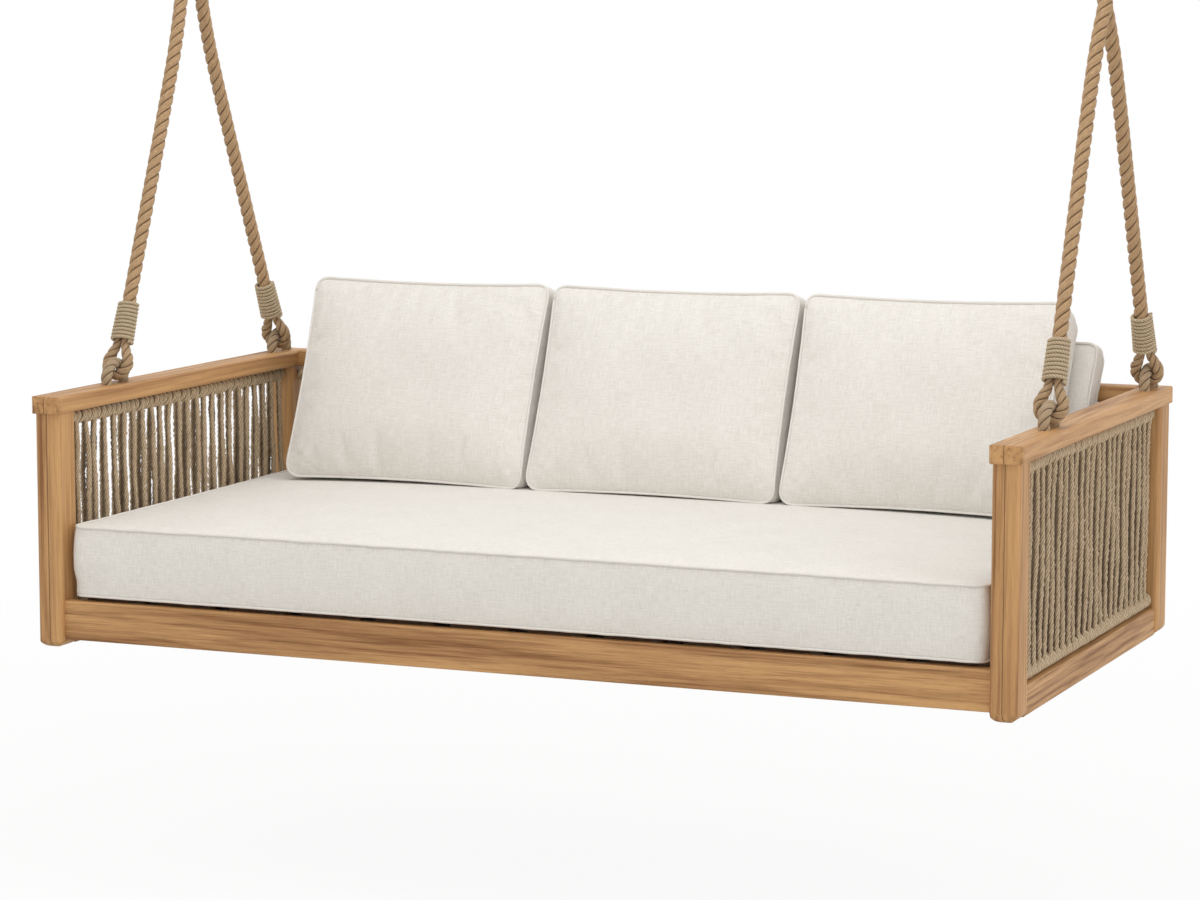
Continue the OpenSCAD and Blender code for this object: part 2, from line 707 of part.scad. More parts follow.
// A stuffed box about its middle: l along X, d along Y, t thick at its edges along Z.
// Its sides are drawn in between the corners and bulge at mid height, its faces are crowned.
// With a slope it stands on its front side instead, and leans back: its foot is level, and
// its top is square to its lean.
corner_k = 0.02;
function drawn(u, corner) = draw_in * (1 - u * u) + corner * pow(u, 8);
module cushion(l, d, t, crown, under, nu, nv, slope = 0) {
    corner = min(l, d) * corner_k;
    bulge = 4;
    function stand(p) =
        let (up = p.y + d / 2)
        slope == 0 ? p : [p.x, up * slope - p.z, up + p.z * slope * up / d];
    function lay(u, v, z, out) =
        let (x = u * (l / 2 - bulge - drawn(v, corner) + out),
             y = v * (d / 2 - bulge - drawn(u, corner) + out))
        stand([x, y, z]);
    function full(u, v) = (1 - pow(u, 4)) * (1 - pow(v, 4));
    us = [for (i = [0 : nu]) sin(90 * (2 * i / nu - 1))];
    vs = [for (j = [0 : nv]) sin(90 * (2 * j / nv - 1))];
    top = [for (j = [0 : nv], i = [0 : nu])
        lay(us[i], vs[j], t / 2 + crown * full(us[i], vs[j]), 0)];
    low = [for (j = [0 : nv], i = [0 : nu])
        lay(us[i], vs[j], -t / 2 - under * full(us[i], vs[j]), 0)];
    round_i = concat([for (i = [0 : nu - 1]) i],
                     [for (j = [0 : nv - 1]) j * (nu + 1) + nu],
                     [for (i = [nu : -1 : 1]) nv * (nu + 1) + i],
                     [for (j = [nv : -1 : 1]) j * (nu + 1)]);
    rim = len(round_i);
    waist = [for (k = round_i) lay(us[k % (nu + 1)], vs[floor(k / (nu + 1))], 0, bulge)];
    size = len(top);
    grid = [for (j = [0 : nv - 1], i = [0 : nu - 1])
        let (a = j * (nu + 1) + i, b = a + 1, c = a + nu + 1, e = c + 1)
        each [[a, c, e], [a, e, b], [a + size, b + size, e + size], [a + size, e + size, c + size]]];
    walls = [for (k = [0 : rim - 1])
        let (a = round_i[k], b = round_i[(k + 1) % rim],
             c = 2 * size + k, e = 2 * size + (k + 1) % rim)
        each [[a, b, e], [a, e, c], [c, e, b + size], [c, b + size, a + size]]];
    polyhedron(points = concat(top, low, waist), faces = concat(grid, walls), convexity = 6);
}

module seat_cushion() {
    color(linen) translate([0, bed_y + seat_mid, deck_z + seat_t / 2 + rest])
        cushion(seat_len, seat_dep, seat_t, seat_crown, 0, 18, 10);
}

// Height of the foot of a cushion that stands on the seat cushion at y, drawn in by draw
function standing(y, draw) =
    deck_z + 2 * rest + seat_t + seat_crown * (1 - pow((y - seat_mid) / (seat_dep / 2), 4)) - draw;
// Slope of a leaning cushion's face at depth d behind its middle, and the other way round
function face_slope(middle, d, h) = middle / (1 - d * middle / h);
function middle_slope(face, d, h) = face / (1 + d * face / h);

// The pad leans on the top edge of the back's top rail, the back cushions lean on the pad
back_slope = tan(back_lean);
back_rear_d = back_t / 2 + back_bulge;
touch_slope = face_slope(back_slope, back_rear_d, back_h);
pad_d = pad_t / 2 + pad_crown;
pad_slope = middle_slope(touch_slope, -pad_d, pad_h);
rail_slope = face_slope(pad_slope, pad_d, pad_h);
pad_draw = drawn(0.8, pad_h * corner_k);
back_draw = drawn(0.8, back_h * corner_k);
function pad_foot(z) =
    back_rear + edge_r - (edge_r + rest) / cos(atan(rail_slope)) - pad_d
    - (arm_top - edge_r - z) * rail_slope;
pad_z = standing(pad_foot(standing(pad_foot(deck_z + seat_t), pad_draw)), pad_draw);
function back_foot(z) =
    pad_foot(pad_z) - pad_d - back_rear_d + (z - pad_z) * touch_slope
    - rest / cos(atan(touch_slope));
back_z = standing(back_foot(pad_z), back_draw);

module back_pad() {
    color(linen) translate([0, bed_y + pad_foot(pad_z), pad_z])
        cushion(pad_l, pad_h, pad_t, pad_crown, pad_crown, 18, 8, pad_slope);
}

module back_cushion(place) {
    color(linen) translate([place * back_step, bed_y + back_foot(back_z), back_z])
        cushion(back_w, back_h, back_t, back_crown, back_bulge, 10, 8, back_slope);
}

echo(whipping_least_gap = least_gap(whip_route(), whip_d, 5));
echo(lacing_least_gap = least_gap(lace_route(), cord_d, 4));

ceiling_bracket(-1);  // ceiling_bracket_left
ceiling_bracket(1);  // ceiling_bracket_right
swing_pin(-1);  // swing_pin_left
swing_pin(1);  // swing_pin_right
hanger(-1);  // hanger_left
hanger(1);  // hanger_right
thimble_pin(-1);  // thimble_pin_left
thimble_pin(1);  // thimble_pin_right
thimble(-1);  // thimble_left
thimble(1);  // thimble_right
rope(-1);  // rope_left
rope(1);  // rope_right
lashing(-1);  // lashing_left
lashing(1);  // lashing_right
eye(-1, -1);  // eye_left_front
eye(-1, 1);  // eye_left_rear
eye(1, -1);  // eye_right_front
eye(1, 1);  // eye_right_rear
whipping(-1, -1);  // whipping_left_front
whipping(-1, 1);  // whipping_left_rear
whipping(1, -1);  // whipping_right_front
whipping(1, 1);  // whipping_right_rear
arm_loop(-1, -1);  // arm_loop_left_front
arm_loop(-1, 1);  // arm_loop_left_rear
arm_loop(1, -1);  // arm_loop_right_front
arm_loop(1, 1);  // arm_loop_right_rear
anchor(-1, -1);  // anchor_left_front
anchor(-1, 1);  // anchor_left_rear
anchor(1, -1);  // anchor_right_front
anchor(1, 1);  // anchor_right_rear
post(-1, -1);  // post_left_front
post(-1, 1);  // post_left_rear
post(1, -1);  // post_right_front
post(1, 1);  // post_right_rear
arm(-1);  // arm_left
arm(1);  // arm_right
side_rail(-1);  // side_rail_left
side_rail(1);  // side_rail_right
cross_rail(-1);  // front_rail
cross_rail(1);  // back_rail
back_top_rail();
back_stile(-1);  // back_stile_left
back_stile(1);  // back_stile_right
ledger(-1);  // ledger_front
ledger(1);  // ledger_back
bearer();
slats();
dowels();
lacing_rods_side(-1);  // lacing_rods_left
lacing_rods_side(1);  // lacing_rods_right
lacing_rods_back();
lacing_side(-1);  // lacing_left
lacing_side(1);  // lacing_right
lacing_back();
seat_cushion();
back_pad();
back_cushion(-1);  // back_cushion_left
back_cushion(0);  // back_cushion_middle
back_cushion(1);  // back_cushion_right
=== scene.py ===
# %% [markdown]
# # A hanging swing bed
# The bed is an oiled teak frame whose arms and back are laced with cord. A boxed seat
# cushion lies on its slats, three back cushions lean on the back, and two rope slings
# carry it from the ceiling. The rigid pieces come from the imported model; this lesson
# gives them their finishes and makes the soft pieces: rope, cord and cushions.

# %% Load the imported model
import json
import math
import random

import bpy
import numpy as np
from mathutils import Matrix, Vector

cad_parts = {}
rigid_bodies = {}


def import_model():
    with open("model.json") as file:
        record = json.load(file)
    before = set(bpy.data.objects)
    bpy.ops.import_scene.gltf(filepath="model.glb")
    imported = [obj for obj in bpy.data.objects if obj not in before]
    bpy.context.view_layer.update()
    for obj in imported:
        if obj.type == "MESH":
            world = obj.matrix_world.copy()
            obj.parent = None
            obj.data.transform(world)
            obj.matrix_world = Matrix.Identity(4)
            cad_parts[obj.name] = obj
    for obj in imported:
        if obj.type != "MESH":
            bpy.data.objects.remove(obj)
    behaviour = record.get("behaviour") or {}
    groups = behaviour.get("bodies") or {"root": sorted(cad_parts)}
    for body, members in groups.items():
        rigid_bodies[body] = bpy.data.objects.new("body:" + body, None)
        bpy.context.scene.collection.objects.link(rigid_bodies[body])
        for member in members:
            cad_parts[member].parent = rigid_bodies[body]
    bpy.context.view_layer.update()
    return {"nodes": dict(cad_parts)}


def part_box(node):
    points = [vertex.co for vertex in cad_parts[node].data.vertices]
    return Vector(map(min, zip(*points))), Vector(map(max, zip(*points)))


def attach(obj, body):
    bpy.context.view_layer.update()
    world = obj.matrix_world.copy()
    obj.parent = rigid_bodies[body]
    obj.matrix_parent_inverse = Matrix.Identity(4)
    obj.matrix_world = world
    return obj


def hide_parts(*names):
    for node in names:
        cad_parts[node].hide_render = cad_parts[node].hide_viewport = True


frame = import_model()
nodes = frame["nodes"]

# %% [markdown]
# ## Camera
# The photograph looks at the bed from the front and a little from its right, with a long
# lens. Place, turn and focal length were fitted to the edges of posts, arms, rails and
# cushions.
# The camera comes first, because the ropes end outside its view.

# %% Camera
PHOTO_W = 1200
SENSOR_MM = 36
FOCAL_PX = 3735.9
STAND = (2.8017, -6.7431, -0.2876)
YAW, PITCH, ROLL = 0.4003, 0.126, 0.0003


def in_scene(name, data):
    """An object that holds the given data, put in the scene."""
    obj = bpy.data.objects.new(name, data)
    bpy.context.scene.collection.objects.link(obj)
    return obj


ahead = Vector((-math.sin(YAW) * math.cos(PITCH), math.cos(YAW) * math.cos(PITCH), -math.sin(PITCH)))
level = Vector((math.cos(YAW), math.sin(YAW), 0))
upward = level.cross(ahead)
right = level * math.cos(ROLL) + upward * math.sin(ROLL)
upward = upward * math.cos(ROLL) - level * math.sin(ROLL)
turn = Matrix((right, upward, -ahead)).transposed().to_4x4()

camera_data = bpy.data.cameras.new("photo_camera")
camera_data.sensor_width = SENSOR_MM
camera_data.lens = SENSOR_MM * FOCAL_PX / PHOTO_W
camera = in_scene("photo_camera", camera_data)
camera.matrix_world = Matrix.Translation(STAND) @ turn
bpy.context.scene.camera = camera
print("camera with a lens of", round(camera_data.lens), "mm")

# %% [markdown]
# ## Small helpers
# Blender's operators act on whatever is selected, so each new piece starts from a clean
# selection. Every finished piece keeps its object at the origin, with its place in its
# mesh, so that a pattern on object coordinates stays where it is.


# %% Helpers for meshes
def clear_selection():
    """Deselect everything, so that the next operator acts on one piece only."""
    for o in bpy.context.selected_objects:
        o.select_set(False)


def pick(obj):
    """Make obj the only selected and the active object."""
    clear_selection()
    obj.select_set(True)
    bpy.context.view_layer.objects.active = obj


def edit_all():
    """Go into edit mode with the whole piece selected."""
    bpy.ops.object.mode_set(mode="EDIT")
    bpy.ops.mesh.select_all(action="SELECT")


def new_mesh(name, points, faces, uv):
    """A smooth mesh object from points and faces, with a place in the UV map for each face corner."""
    mesh = bpy.data.meshes.new(name)
    mesh.from_pydata([tuple(p) for p in points], [], [tuple(f) for f in faces])
    mesh.uv_layers.new(name="UVMap").data.foreach_set("uv", np.asarray(uv, np.float32).ravel())
    mesh.polygons.foreach_set("use_smooth", [True] * len(mesh.polygons))
    return in_scene(name, mesh)


def coords(obj):
    """The vertices of a mesh object as an array."""
    flat = np.empty(len(obj.data.vertices) * 3)
    obj.data.vertices.foreach_get("co", flat)
    return flat.reshape(-1, 3)


def set_coords(obj, points):
    obj.data.vertices.foreach_set("co", np.asarray(points, float).ravel())
    obj.data.update()


print("helpers ready")

# %% [markdown]
# ## Routes
# A rope, a cord or a piping follows a route: a list of points with a smooth curve through
# them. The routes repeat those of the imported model, in metres, so the ropes lie where the
# model has them.

# %% Smooth curves through points
ROUTE_STEPS = 8


def curve_through(points, steps=ROUTE_STEPS):
    """Points of a smooth curve through the given ones, with so many steps from each to the next."""
    p = np.asarray(points, float)
    out = []
    for i in range(len(p) - 1):
        a, b, c, d = p[max(i - 1, 0)], p[i], p[i + 1], p[min(i + 2, len(p) - 1)]
        for j in range(steps):
            t = j / steps
            out.append(0.5 * (2 * b + (c - a) * t + (2 * a - 5 * b + 4 * c - d) * t * t
                              + (3 * b - a - 3 * c + d) * t ** 3))
    out.append(p[-1])
    return np.array(out)


def run_along(p):
    """How far along a line each of its points lies."""
    return np.concatenate([[0], np.cumsum(np.linalg.norm(np.diff(p, axis=0), axis=1))])


def even_steps(points, step):
    """The same line, with its points one step apart, and the line's length."""
    p = np.asarray(points, float)
    at = run_along(p)
    count = max(2, int(round(at[-1] / step)) + 1)
    to = np.linspace(0, at[-1], count)
    return np.column_stack([np.interp(to, at, p[:, k]) for k in range(p.shape[1])]), at[-1]


print("a curve through 3 points has", len(curve_through([(0, 0, 0), (1, 0, 0), (1, 1, 0)])), "points")

# %% [markdown]
# ## Laid rope
# Rope is laid: its strands wind round each other like a long screw. A section with one
# round lobe for each strand, carried along the route and turned as it goes, gives every
# groove between the strands as real geometry. The section is written once and serves the
# thick hanging rope as well as the thin lacing cord.

# %% Laid rope along a route
NO_ROPE_WAY = (0.31, 0.52, 0.8)     # a direction that no rope starts in


def laid_section(strands, per_strand, depth):
    """Radii round a rope's section, 1 on a strand's crown and lower in the narrow grooves."""
    angle = np.arange(strands * per_strand) / (strands * per_strand) * 2 * math.pi
    lobe = np.abs(np.cos(angle * strands / 2))
    return angle, 1 - depth * (1 - lobe) ** 1.9


def sides_of(tangent):
    """Two directions across a line at each of its points, carried along it without a twist."""
    side = np.cross(tangent[0], NO_ROPE_WAY)
    sides = []
    for t in tangent:
        side = side - t * side.dot(t)
        side = side / np.linalg.norm(side)
        sides.append(side)
    sides = np.array(sides)
    return sides, np.cross(tangent, sides)


def ring_faces(rings, around):
    """The quads of a tube, and for each quad the ring and the place round it where it starts."""
    i, j = np.meshgrid(np.arange(rings - 1), np.arange(around), indexing="ij")
    i, j = i.ravel(), j.ravel()
    k = (j + 1) % around
    return np.column_stack([i * around + j, i * around + k, (i + 1) * around + k, (i + 1) * around + j]), i, j


def lay_rope(name, route, radius, lay, per_strand, depth, step, strands=3, fuzz=0.0):
    """A rope of laid strands along a route. radius is one number, or one for each point.

    lay is the length of one turn, depth that of the grooves as a share of the radius, and
    fuzz the share by which the surface is rough. crown is 1 on a strand and 0 in a groove."""
    sizes = np.broadcast_to(np.asarray(radius, float), (len(route),))
    line, length = even_steps(np.column_stack([route, sizes]), step)
    p, size = line[:, :3], line[:, 3]
    tangent = np.gradient(p, axis=0)
    tangent /= np.linalg.norm(tangent, axis=1)[:, None]
    sides, others = sides_of(tangent)
    angle, lobe = laid_section(strands, per_strand, depth)
    along = run_along(p)
    turned = angle[None, :] + (along / lay * 2 * math.pi)[:, None]
    rough = np.random.default_rng(len(route)).normal(1, fuzz, (len(p), len(angle))) if fuzz else 1
    reach = size[:, None] * lobe[None, :] * rough
    points = (p[:, None, :] + (reach * np.cos(turned))[..., None] * sides[:, None, :]
              + (reach * np.sin(turned))[..., None] * others[:, None, :])
    rings, around = len(p), len(angle)
    faces, i, j = ring_faces(rings, around)
    u0, u1, v0, v1 = along[i], along[i + 1], j / around, (j + 1) / around
    uv = np.stack([u0, v0, u0, v1, u1, v1, u1, v0], axis=1).reshape(-1, 2)
    ends = [list(range(around))[::-1], list((rings - 1) * around + np.arange(around))]
    uv = np.concatenate([uv, np.zeros((2 * around, 2))])
    rope = new_mesh(name, points.reshape(-1, 3), faces.tolist() + ends, uv)
    if depth:
        lobe = (lobe - lobe.min()) / (1 - lobe.min())
    crown = rope.data.attributes.new("crown", "FLOAT", "POINT")
    crown.data.foreach_set("value", np.tile(lobe, rings).astype(np.float32))
    return rope, length


print("a three-strand section has", len(laid_section(3, 8, 0.3)[0]), "points")

# %% [markdown]
# ## Rope slings
# Each sling is one 28 mm three-strand rope. It comes up from the front of the arm rail,
# goes over a thimble under the ceiling and down to the rear of the same arm rail. Above
# the photograph it ends in its ceiling fitting, so nothing is coiled away.

# %% The slings' route
ARM_X = 0.958
ROPE_D = 0.028
MEET = np.array((0, 0, -0.270))
FEET = {"front": np.array((0, -0.316, -1.050)), "rear": np.array((0, 0.354, -1.050))}
LEG = [(0, 0.936), (0, 0.733), (0, 0.567), (0, 0.4), (0.001, 0.233), (0.005, 0.133), (0.011, 0.05),
       (0.0136, 0.02)]
CROWN = [(0.0144, 0, -0.262), (0.0144, 0, -0.205), (0.022, 0, -0.172), (0.031, 0, -0.143),
         (0.034, 0, -0.125), (0.029, 0, -0.109), (0.017, 0, -0.097), (0, 0, -0.092)]
SIDES = {"left": -1, "right": 1}
SLING_ROPE = {"lay": 0.071, "per_strand": 12, "depth": 0.27, "step": 0.0045, "fuzz": 0.006}


def leg_points(end):
    """A leg's points from its foot up. LEG gives each as (aside, share of the way down from MEET)."""
    return [np.array((aside, 0, 0)) + MEET + share * (FEET[end] - MEET) for aside, share in LEG]


def sling_route(side):
    """Up the front leg, over the thimble and down the rear leg."""
    crown = [np.array(c) for c in CROWN]
    front = np.array(leg_points("front") + crown) * (side, 1, 1)
    rear = np.array(leg_points("rear") + crown[:-1]) * (-side, 1, 1)
    return curve_through(np.concatenate([front, rear[::-1]]) + (side * ARM_X, 0, 0))


for word, side in SIDES.items():
    route = sling_route(side)
    rope, length = lay_rope(f"sling_rope_{word}", route, ROPE_D / 2, **SLING_ROPE)
    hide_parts(f"rope_{word}")
    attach(rope, f"{word}_ropes")
    print(f"the {word} sling's rope is {length:.2f} m long")

# %% [markdown]
# ## Eyes, whippings and arm loops
# At each foot the rope's end is turned back into an eye and spliced into itself. Thinner
# cord is whipped round the splice so tightly that its turns touch. The eye hangs in a
# loop of rope whose two ends go down through the arm rail.


# %% A leg's own frame
def lean_of(end):
    """How far a leg leans from upright, with the rear leg's lean as positive."""
    return math.atan2(FEET[end][1], MEET[2] - FEET[end][2])


def on_leg(points, side, end):
    """Points given across and up along a leg, placed on the leg of that side and end."""
    foot, tilt = FEET[end], lean_of(end)
    p = np.asarray(points, float)
    y = p[:, 1] * math.cos(tilt) - p[:, 2] * math.sin(tilt)
    z = p[:, 1] * math.sin(tilt) + p[:, 2] * math.cos(tilt)
    return np.column_stack([p[:, 0] + side * ARM_X, y + foot[1], z + foot[2]])


print("the legs lean by", [round(math.degrees(abs(lean_of(end)))) for end in FEET], "degrees")

# %% Eyes
EYE = [(0.0083, 0.0525), (0.0083, 0.044), (0.012, 0.030), (0.019, 0.014), (0.0226, 0), (0.016, -0.016),
       (0, -0.0226)]
EYE_R = [0.008, 0.008, 0.0092, 0.011, 0.011, 0.011, 0.011]
EYE_FULL = 1.03             # grooves take from a rope, so it is drawn this much fuller
SPLICED_ROPE = {"lay": 0.052, "per_strand": 12, "depth": 0.3, "step": 0.0025}
eye_line = [(x, 0, z) for x, z in EYE] + [(-x, 0, z) for x, z in EYE[-2::-1]]
eye_size = EYE_R + EYE_R[-2::-1]
eye_route = curve_through(np.column_stack([eye_line, eye_size]))

for word, side in SIDES.items():
    for end in FEET:
        eye, length = lay_rope(f"eye_rope_{word}_{end}", on_leg(eye_route[:, :3], side, end),
                               eye_route[:, 3] * EYE_FULL, **SPLICED_ROPE)
        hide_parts(f"eye_{word}_{end}")
        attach(eye, f"{word}_ropes")
print("4 eyes, each of", round(length * 1000), "mm of rope")

# %% Whippings
WHIP_R, WHIP_PITCH, WHIP_TURNS, WHIP_STEPS = 0.0035, 0.0078, 10, 32
WHIP_FOOT, WHIP_LOW, WHIP_TOP = 0.042, 0.0166, 0.0143
WHIP_OFF, WHIP_FULL = 1.06, 1.08    # the coil's place and the cord's size, in cord radii
WHIP_TAIL = (0.001, 0.007)          # how far an end runs inwards and aside
THIN_CORD = {"lay": 0.016, "per_strand": 4, "depth": 0.16, "step": 0.003}


def whipping_route():
    """A coil round the splice that narrows towards the top, with a short straight end at each side."""
    points = []
    for k in range(WHIP_TURNS * WHIP_STEPS + 1):
        turns = k / WHIP_STEPS
        core = WHIP_LOW + (WHIP_TOP - WHIP_LOW) * turns / WHIP_TURNS + WHIP_R * WHIP_OFF
        a = 2 * math.pi * turns
        points.append((core * math.cos(a), core * math.sin(a), WHIP_FOOT + WHIP_R + WHIP_PITCH * turns))
    inward, aside = WHIP_TAIL
    start = np.array(points[0]) + (-inward, -aside, 0)
    stop = np.array(points[-1]) + (-inward, aside, 0)
    return np.array([start] + points + [stop])


for word, side in SIDES.items():
    for end in FEET:
        whip, length = lay_rope(f"whipping_cord_{word}_{end}", on_leg(whipping_route(), side, end),
                                WHIP_R * WHIP_FULL, **THIN_CORD)
        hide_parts(f"whipping_{word}_{end}")
        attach(whip, f"{word}_ropes")
print("4 whippings, each of", round(length, 2), "m of cord")

# %% Lashings under the thimbles
LASH_TOP, LASH_R, LASH_TURNS, LASH_STEPS = -0.203, 0.0031, 8, 28
LASH_CLEAR, LEG_APART = 0.0006, 0.0288


def lashing_route():
    """A coil round both legs of a sling: two half circles and two straights to each turn."""
    reach = ROPE_D / 2 + LASH_CLEAR + LASH_R
    straight, bend = LEG_APART, math.pi * reach
    points = []
    for k in range(LASH_TURNS * LASH_STEPS + 1):
        run = (k / LASH_STEPS % 1) * 2 * (straight + bend)
        side, run = (1, run) if run < straight + bend else (-1, run - straight - bend)
        if run < straight:
            x, y = side * (run - straight / 2), -side * reach
        else:
            a = (run - straight) / reach
            x, y = side * (straight / 2 + reach * math.sin(a)), -side * reach * math.cos(a)
        points.append((x, y, LASH_TOP - LASH_R - k / LASH_STEPS * 2 * LASH_R))
    return np.array(points)


for word, side in SIDES.items():
    lash, length = lay_rope(f"lashing_cord_{word}", lashing_route() + (side * ARM_X, 0, 0), LASH_R,
                            **THIN_CORD)
    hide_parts(f"lashing_{word}")
    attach(lash, f"{word}_ropes")
print("2 lashings, each of", round(length, 2), "m of cord")

# %% Arm loops
LOOP_RAD, LOOP_R = 0.033, 0.0112
LOOP_FOOT = -1.1216 + 0.0045        # a little above the arm rail's underside
LOOP_EASE = 0.004                   # from the end of a straight leg to the half circle
LOOP_AT = {"front": (-0.32839, -1.08059), "rear": (0.36764, -1.08005)}


def arm_loop_route(side, y, z):
    """Up out of the arm rail, round a half circle and down into the rail again."""
    arch = [(side * ARM_X, y - LOOP_RAD * math.cos(a), z + LOOP_RAD * math.sin(a))
            for a in np.linspace(0, math.pi, 25)]
    heights = np.linspace(LOOP_FOOT, z - LOOP_EASE, 6)
    up = [(side * ARM_X, y - LOOP_RAD, h) for h in heights]
    down = [(side * ARM_X, y + LOOP_RAD, h) for h in heights[::-1]]
    return np.array(up + arch + down)


for word, side in SIDES.items():
    for end, (y, z) in LOOP_AT.items():
        loop, length = lay_rope(f"loop_rope_{word}_{end}", arm_loop_route(side, y, z), LOOP_R, **SPLICED_ROPE)
        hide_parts(f"arm_loop_{word}_{end}")
        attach(loop, "bed")
print("4 arm loops, each of", round(length * 1000), "mm of rope")

# %% [markdown]
# ## Laced sides
# One cord fills each side: up on the outside, over a hidden steel rod under the arm rail,
# down on the inside and under a second rod, 24 times. The cord is hand laced, so the runs
# crowd together in twos and threes, with slits of daylight between the bunches. Between
# the runs the same cord is wound round the rods, which shows as a row of slanting beads
# along both edges. The sides of a run and the space between the two layers get painted shade.

# %% Bunches of runs
CORD_R = 0.0047
LACE_R = 0.0095                     # from a rod's axis to the middle of the cord round it
ROD_TOP, ROD_LOW, ROD_LOW_BACK = -1.1376, -1.5056, -1.4696
BED_Y = -0.076
SIDE_STEP, BACK_STEP = 0.015, 0.0155    # between the runs of one bunch
BUNCHES = (2, 3, 3, 2, 4)
# painted shade: the share of the cord's colour kept in its grooves and on the panel's inside
GROOVE_LIGHT, INSIDE_LIGHT = 0.8, 0.2   # what shade leaves of the light
SHADE_FROM, SHADE_OVER = 0.0012, 0.0052
STRAY = 0.0036
chance = random.Random(20)


def shade_between(cord, across, middle):
    """Paints shade into a cord's crown, fading it towards the panel's inside, where the two layers shade each
    other.
    """
    off = np.abs(np.abs(coords(cord)[:, across]) - abs(middle))
    open_air = np.clip((off - LACE_R + SHADE_FROM) / SHADE_OVER, 0, 1)
    values = cord.data.attributes["crown"].data
    crown = np.empty(len(off), np.float32)
    values.foreach_get("value", crown)
    crown = (GROOVE_LIGHT + (1 - GROOVE_LIGHT) * crown) * (INSIDE_LIGHT + (1 - INSIDE_LIGHT) * open_air)
    values.foreach_set("value", crown.astype(np.float32))


def bunched(count, gap, close):
    """How far each run moves along the panel to join its bunch of two, three or four."""
    moves = []
    while len(moves) < count:
        size = min(chance.choice(BUNCHES), count - len(moves))
        for i in range(size):
            moves.append((i - (size - 1) / 2) * (close - gap) + chance.uniform(-STRAY, STRAY))
    return moves


print("six runs move by", [round(m * 1000) for m in bunched(6, 0.018, SIDE_STEP)], "mm")

# %% The lacing's route
PANEL_EDGE = 0.016
CORD_START = 0.004
HELD_LOW, HELD_TOP = 0.30, 0.12     # shares of its height over which a run leaves its rods
DRIFT, RIPPLE, SWELL = 0.0042, 0.0011, 0.0012   # a bend, small waves, and waves in and out
SIDE_LACING = (0.894, 24, ROD_LOW, SIDE_STEP)


def lacing_route(length, loops, rod_low, close):
    """One cord round two rods, as (across the panel, along it, up). close is the step in a bunch."""
    pitch = (length - 2 * PANEL_EDGE) / (loops - 0.5)
    over = pitch / 4
    y = -length / 2 + PANEL_EDGE
    moves = bunched(2 * loops, pitch / 2, close)
    points = [(LACE_R, y - over, rod_low + CORD_START)]
    for k in range(loops):
        for face in (1, -1):
            start = y + (0 if face == 1 else pitch / 2)
            move, drift = moves[2 * k + (face == -1)], chance.uniform(-DRIFT, DRIFT)
            low, high = (rod_low, ROD_TOP) if face == 1 else (ROD_TOP, rod_low)
            for t in np.linspace(0.04, 0.96, 13):
                up = t if face == 1 else 1 - t
                held = min(1, up / HELD_LOW) * min(1, (1 - up) / HELD_TOP)
                held = held * held * (3 - 2 * held)
                wave = drift * math.sin(2 * math.pi * up) + RIPPLE * math.sin(17 * up + k * 2.3 + face)
                points.append((face * (LACE_R + SWELL * math.sin(9 * up + k)),
                               start - over + over * t + move * held + wave, low + (high - low) * t))
            if face == -1 and k == loops - 1:
                break
            for a in np.linspace(0, math.pi, 7):
                points.append((face * LACE_R * math.cos(a), start + over * a / math.pi,
                               high + face * LACE_R * math.sin(a)))
        y += pitch
    return np.array(points)


route = lacing_route(*SIDE_LACING)
print("a side panel's cord is", round(even_steps(route, 0.01)[1], 1), "m long without its winding")

# %% The side panels' cord
LACING_CORD = {"lay": 0.044, "strands": 2, "depth": 0.08, "fuzz": 0.13}
SIDE_FULL, BACK_FULL = 1.18, 1.10   # the cord's size, in cord radii

for word, side in SIDES.items():
    route = lacing_route(*SIDE_LACING) * (side, 1, 1) + (side * ARM_X, BED_Y, 0)
    cord, length = lay_rope(f"laced_cord_{word}", curve_through(route, 2), CORD_R * SIDE_FULL,
                            per_strand=5, step=0.0034, **LACING_CORD)
    shade_between(cord, 0, ARM_X)
    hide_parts(f"lacing_{word}")
    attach(cord, "bed")
    print(f"{word} panel: {length:.1f} m of cord,", len(cord.data.polygons), "faces")

# %% Beads of cord wound round the rods
BEAD_RINGS, BEAD_AROUND, BEAD_SLANT = 20, 8, 0.62
BEAD_TURN = 0.07                    # the length of cord in one turn
BEAD_STRAY, BEAD_TILT, BEAD_WIDE, BEAD_HIGH = 0.001, (0.75, 1.2), (0.86, 1.0), (0.0044, 0.0056)
BEAD_OUT, BEAD_SKEW = 0.0006, 0.4
SIDE_BEADS, SIDE_BEADS_LONG, BAY_BEADS = 47, 0.884, 31


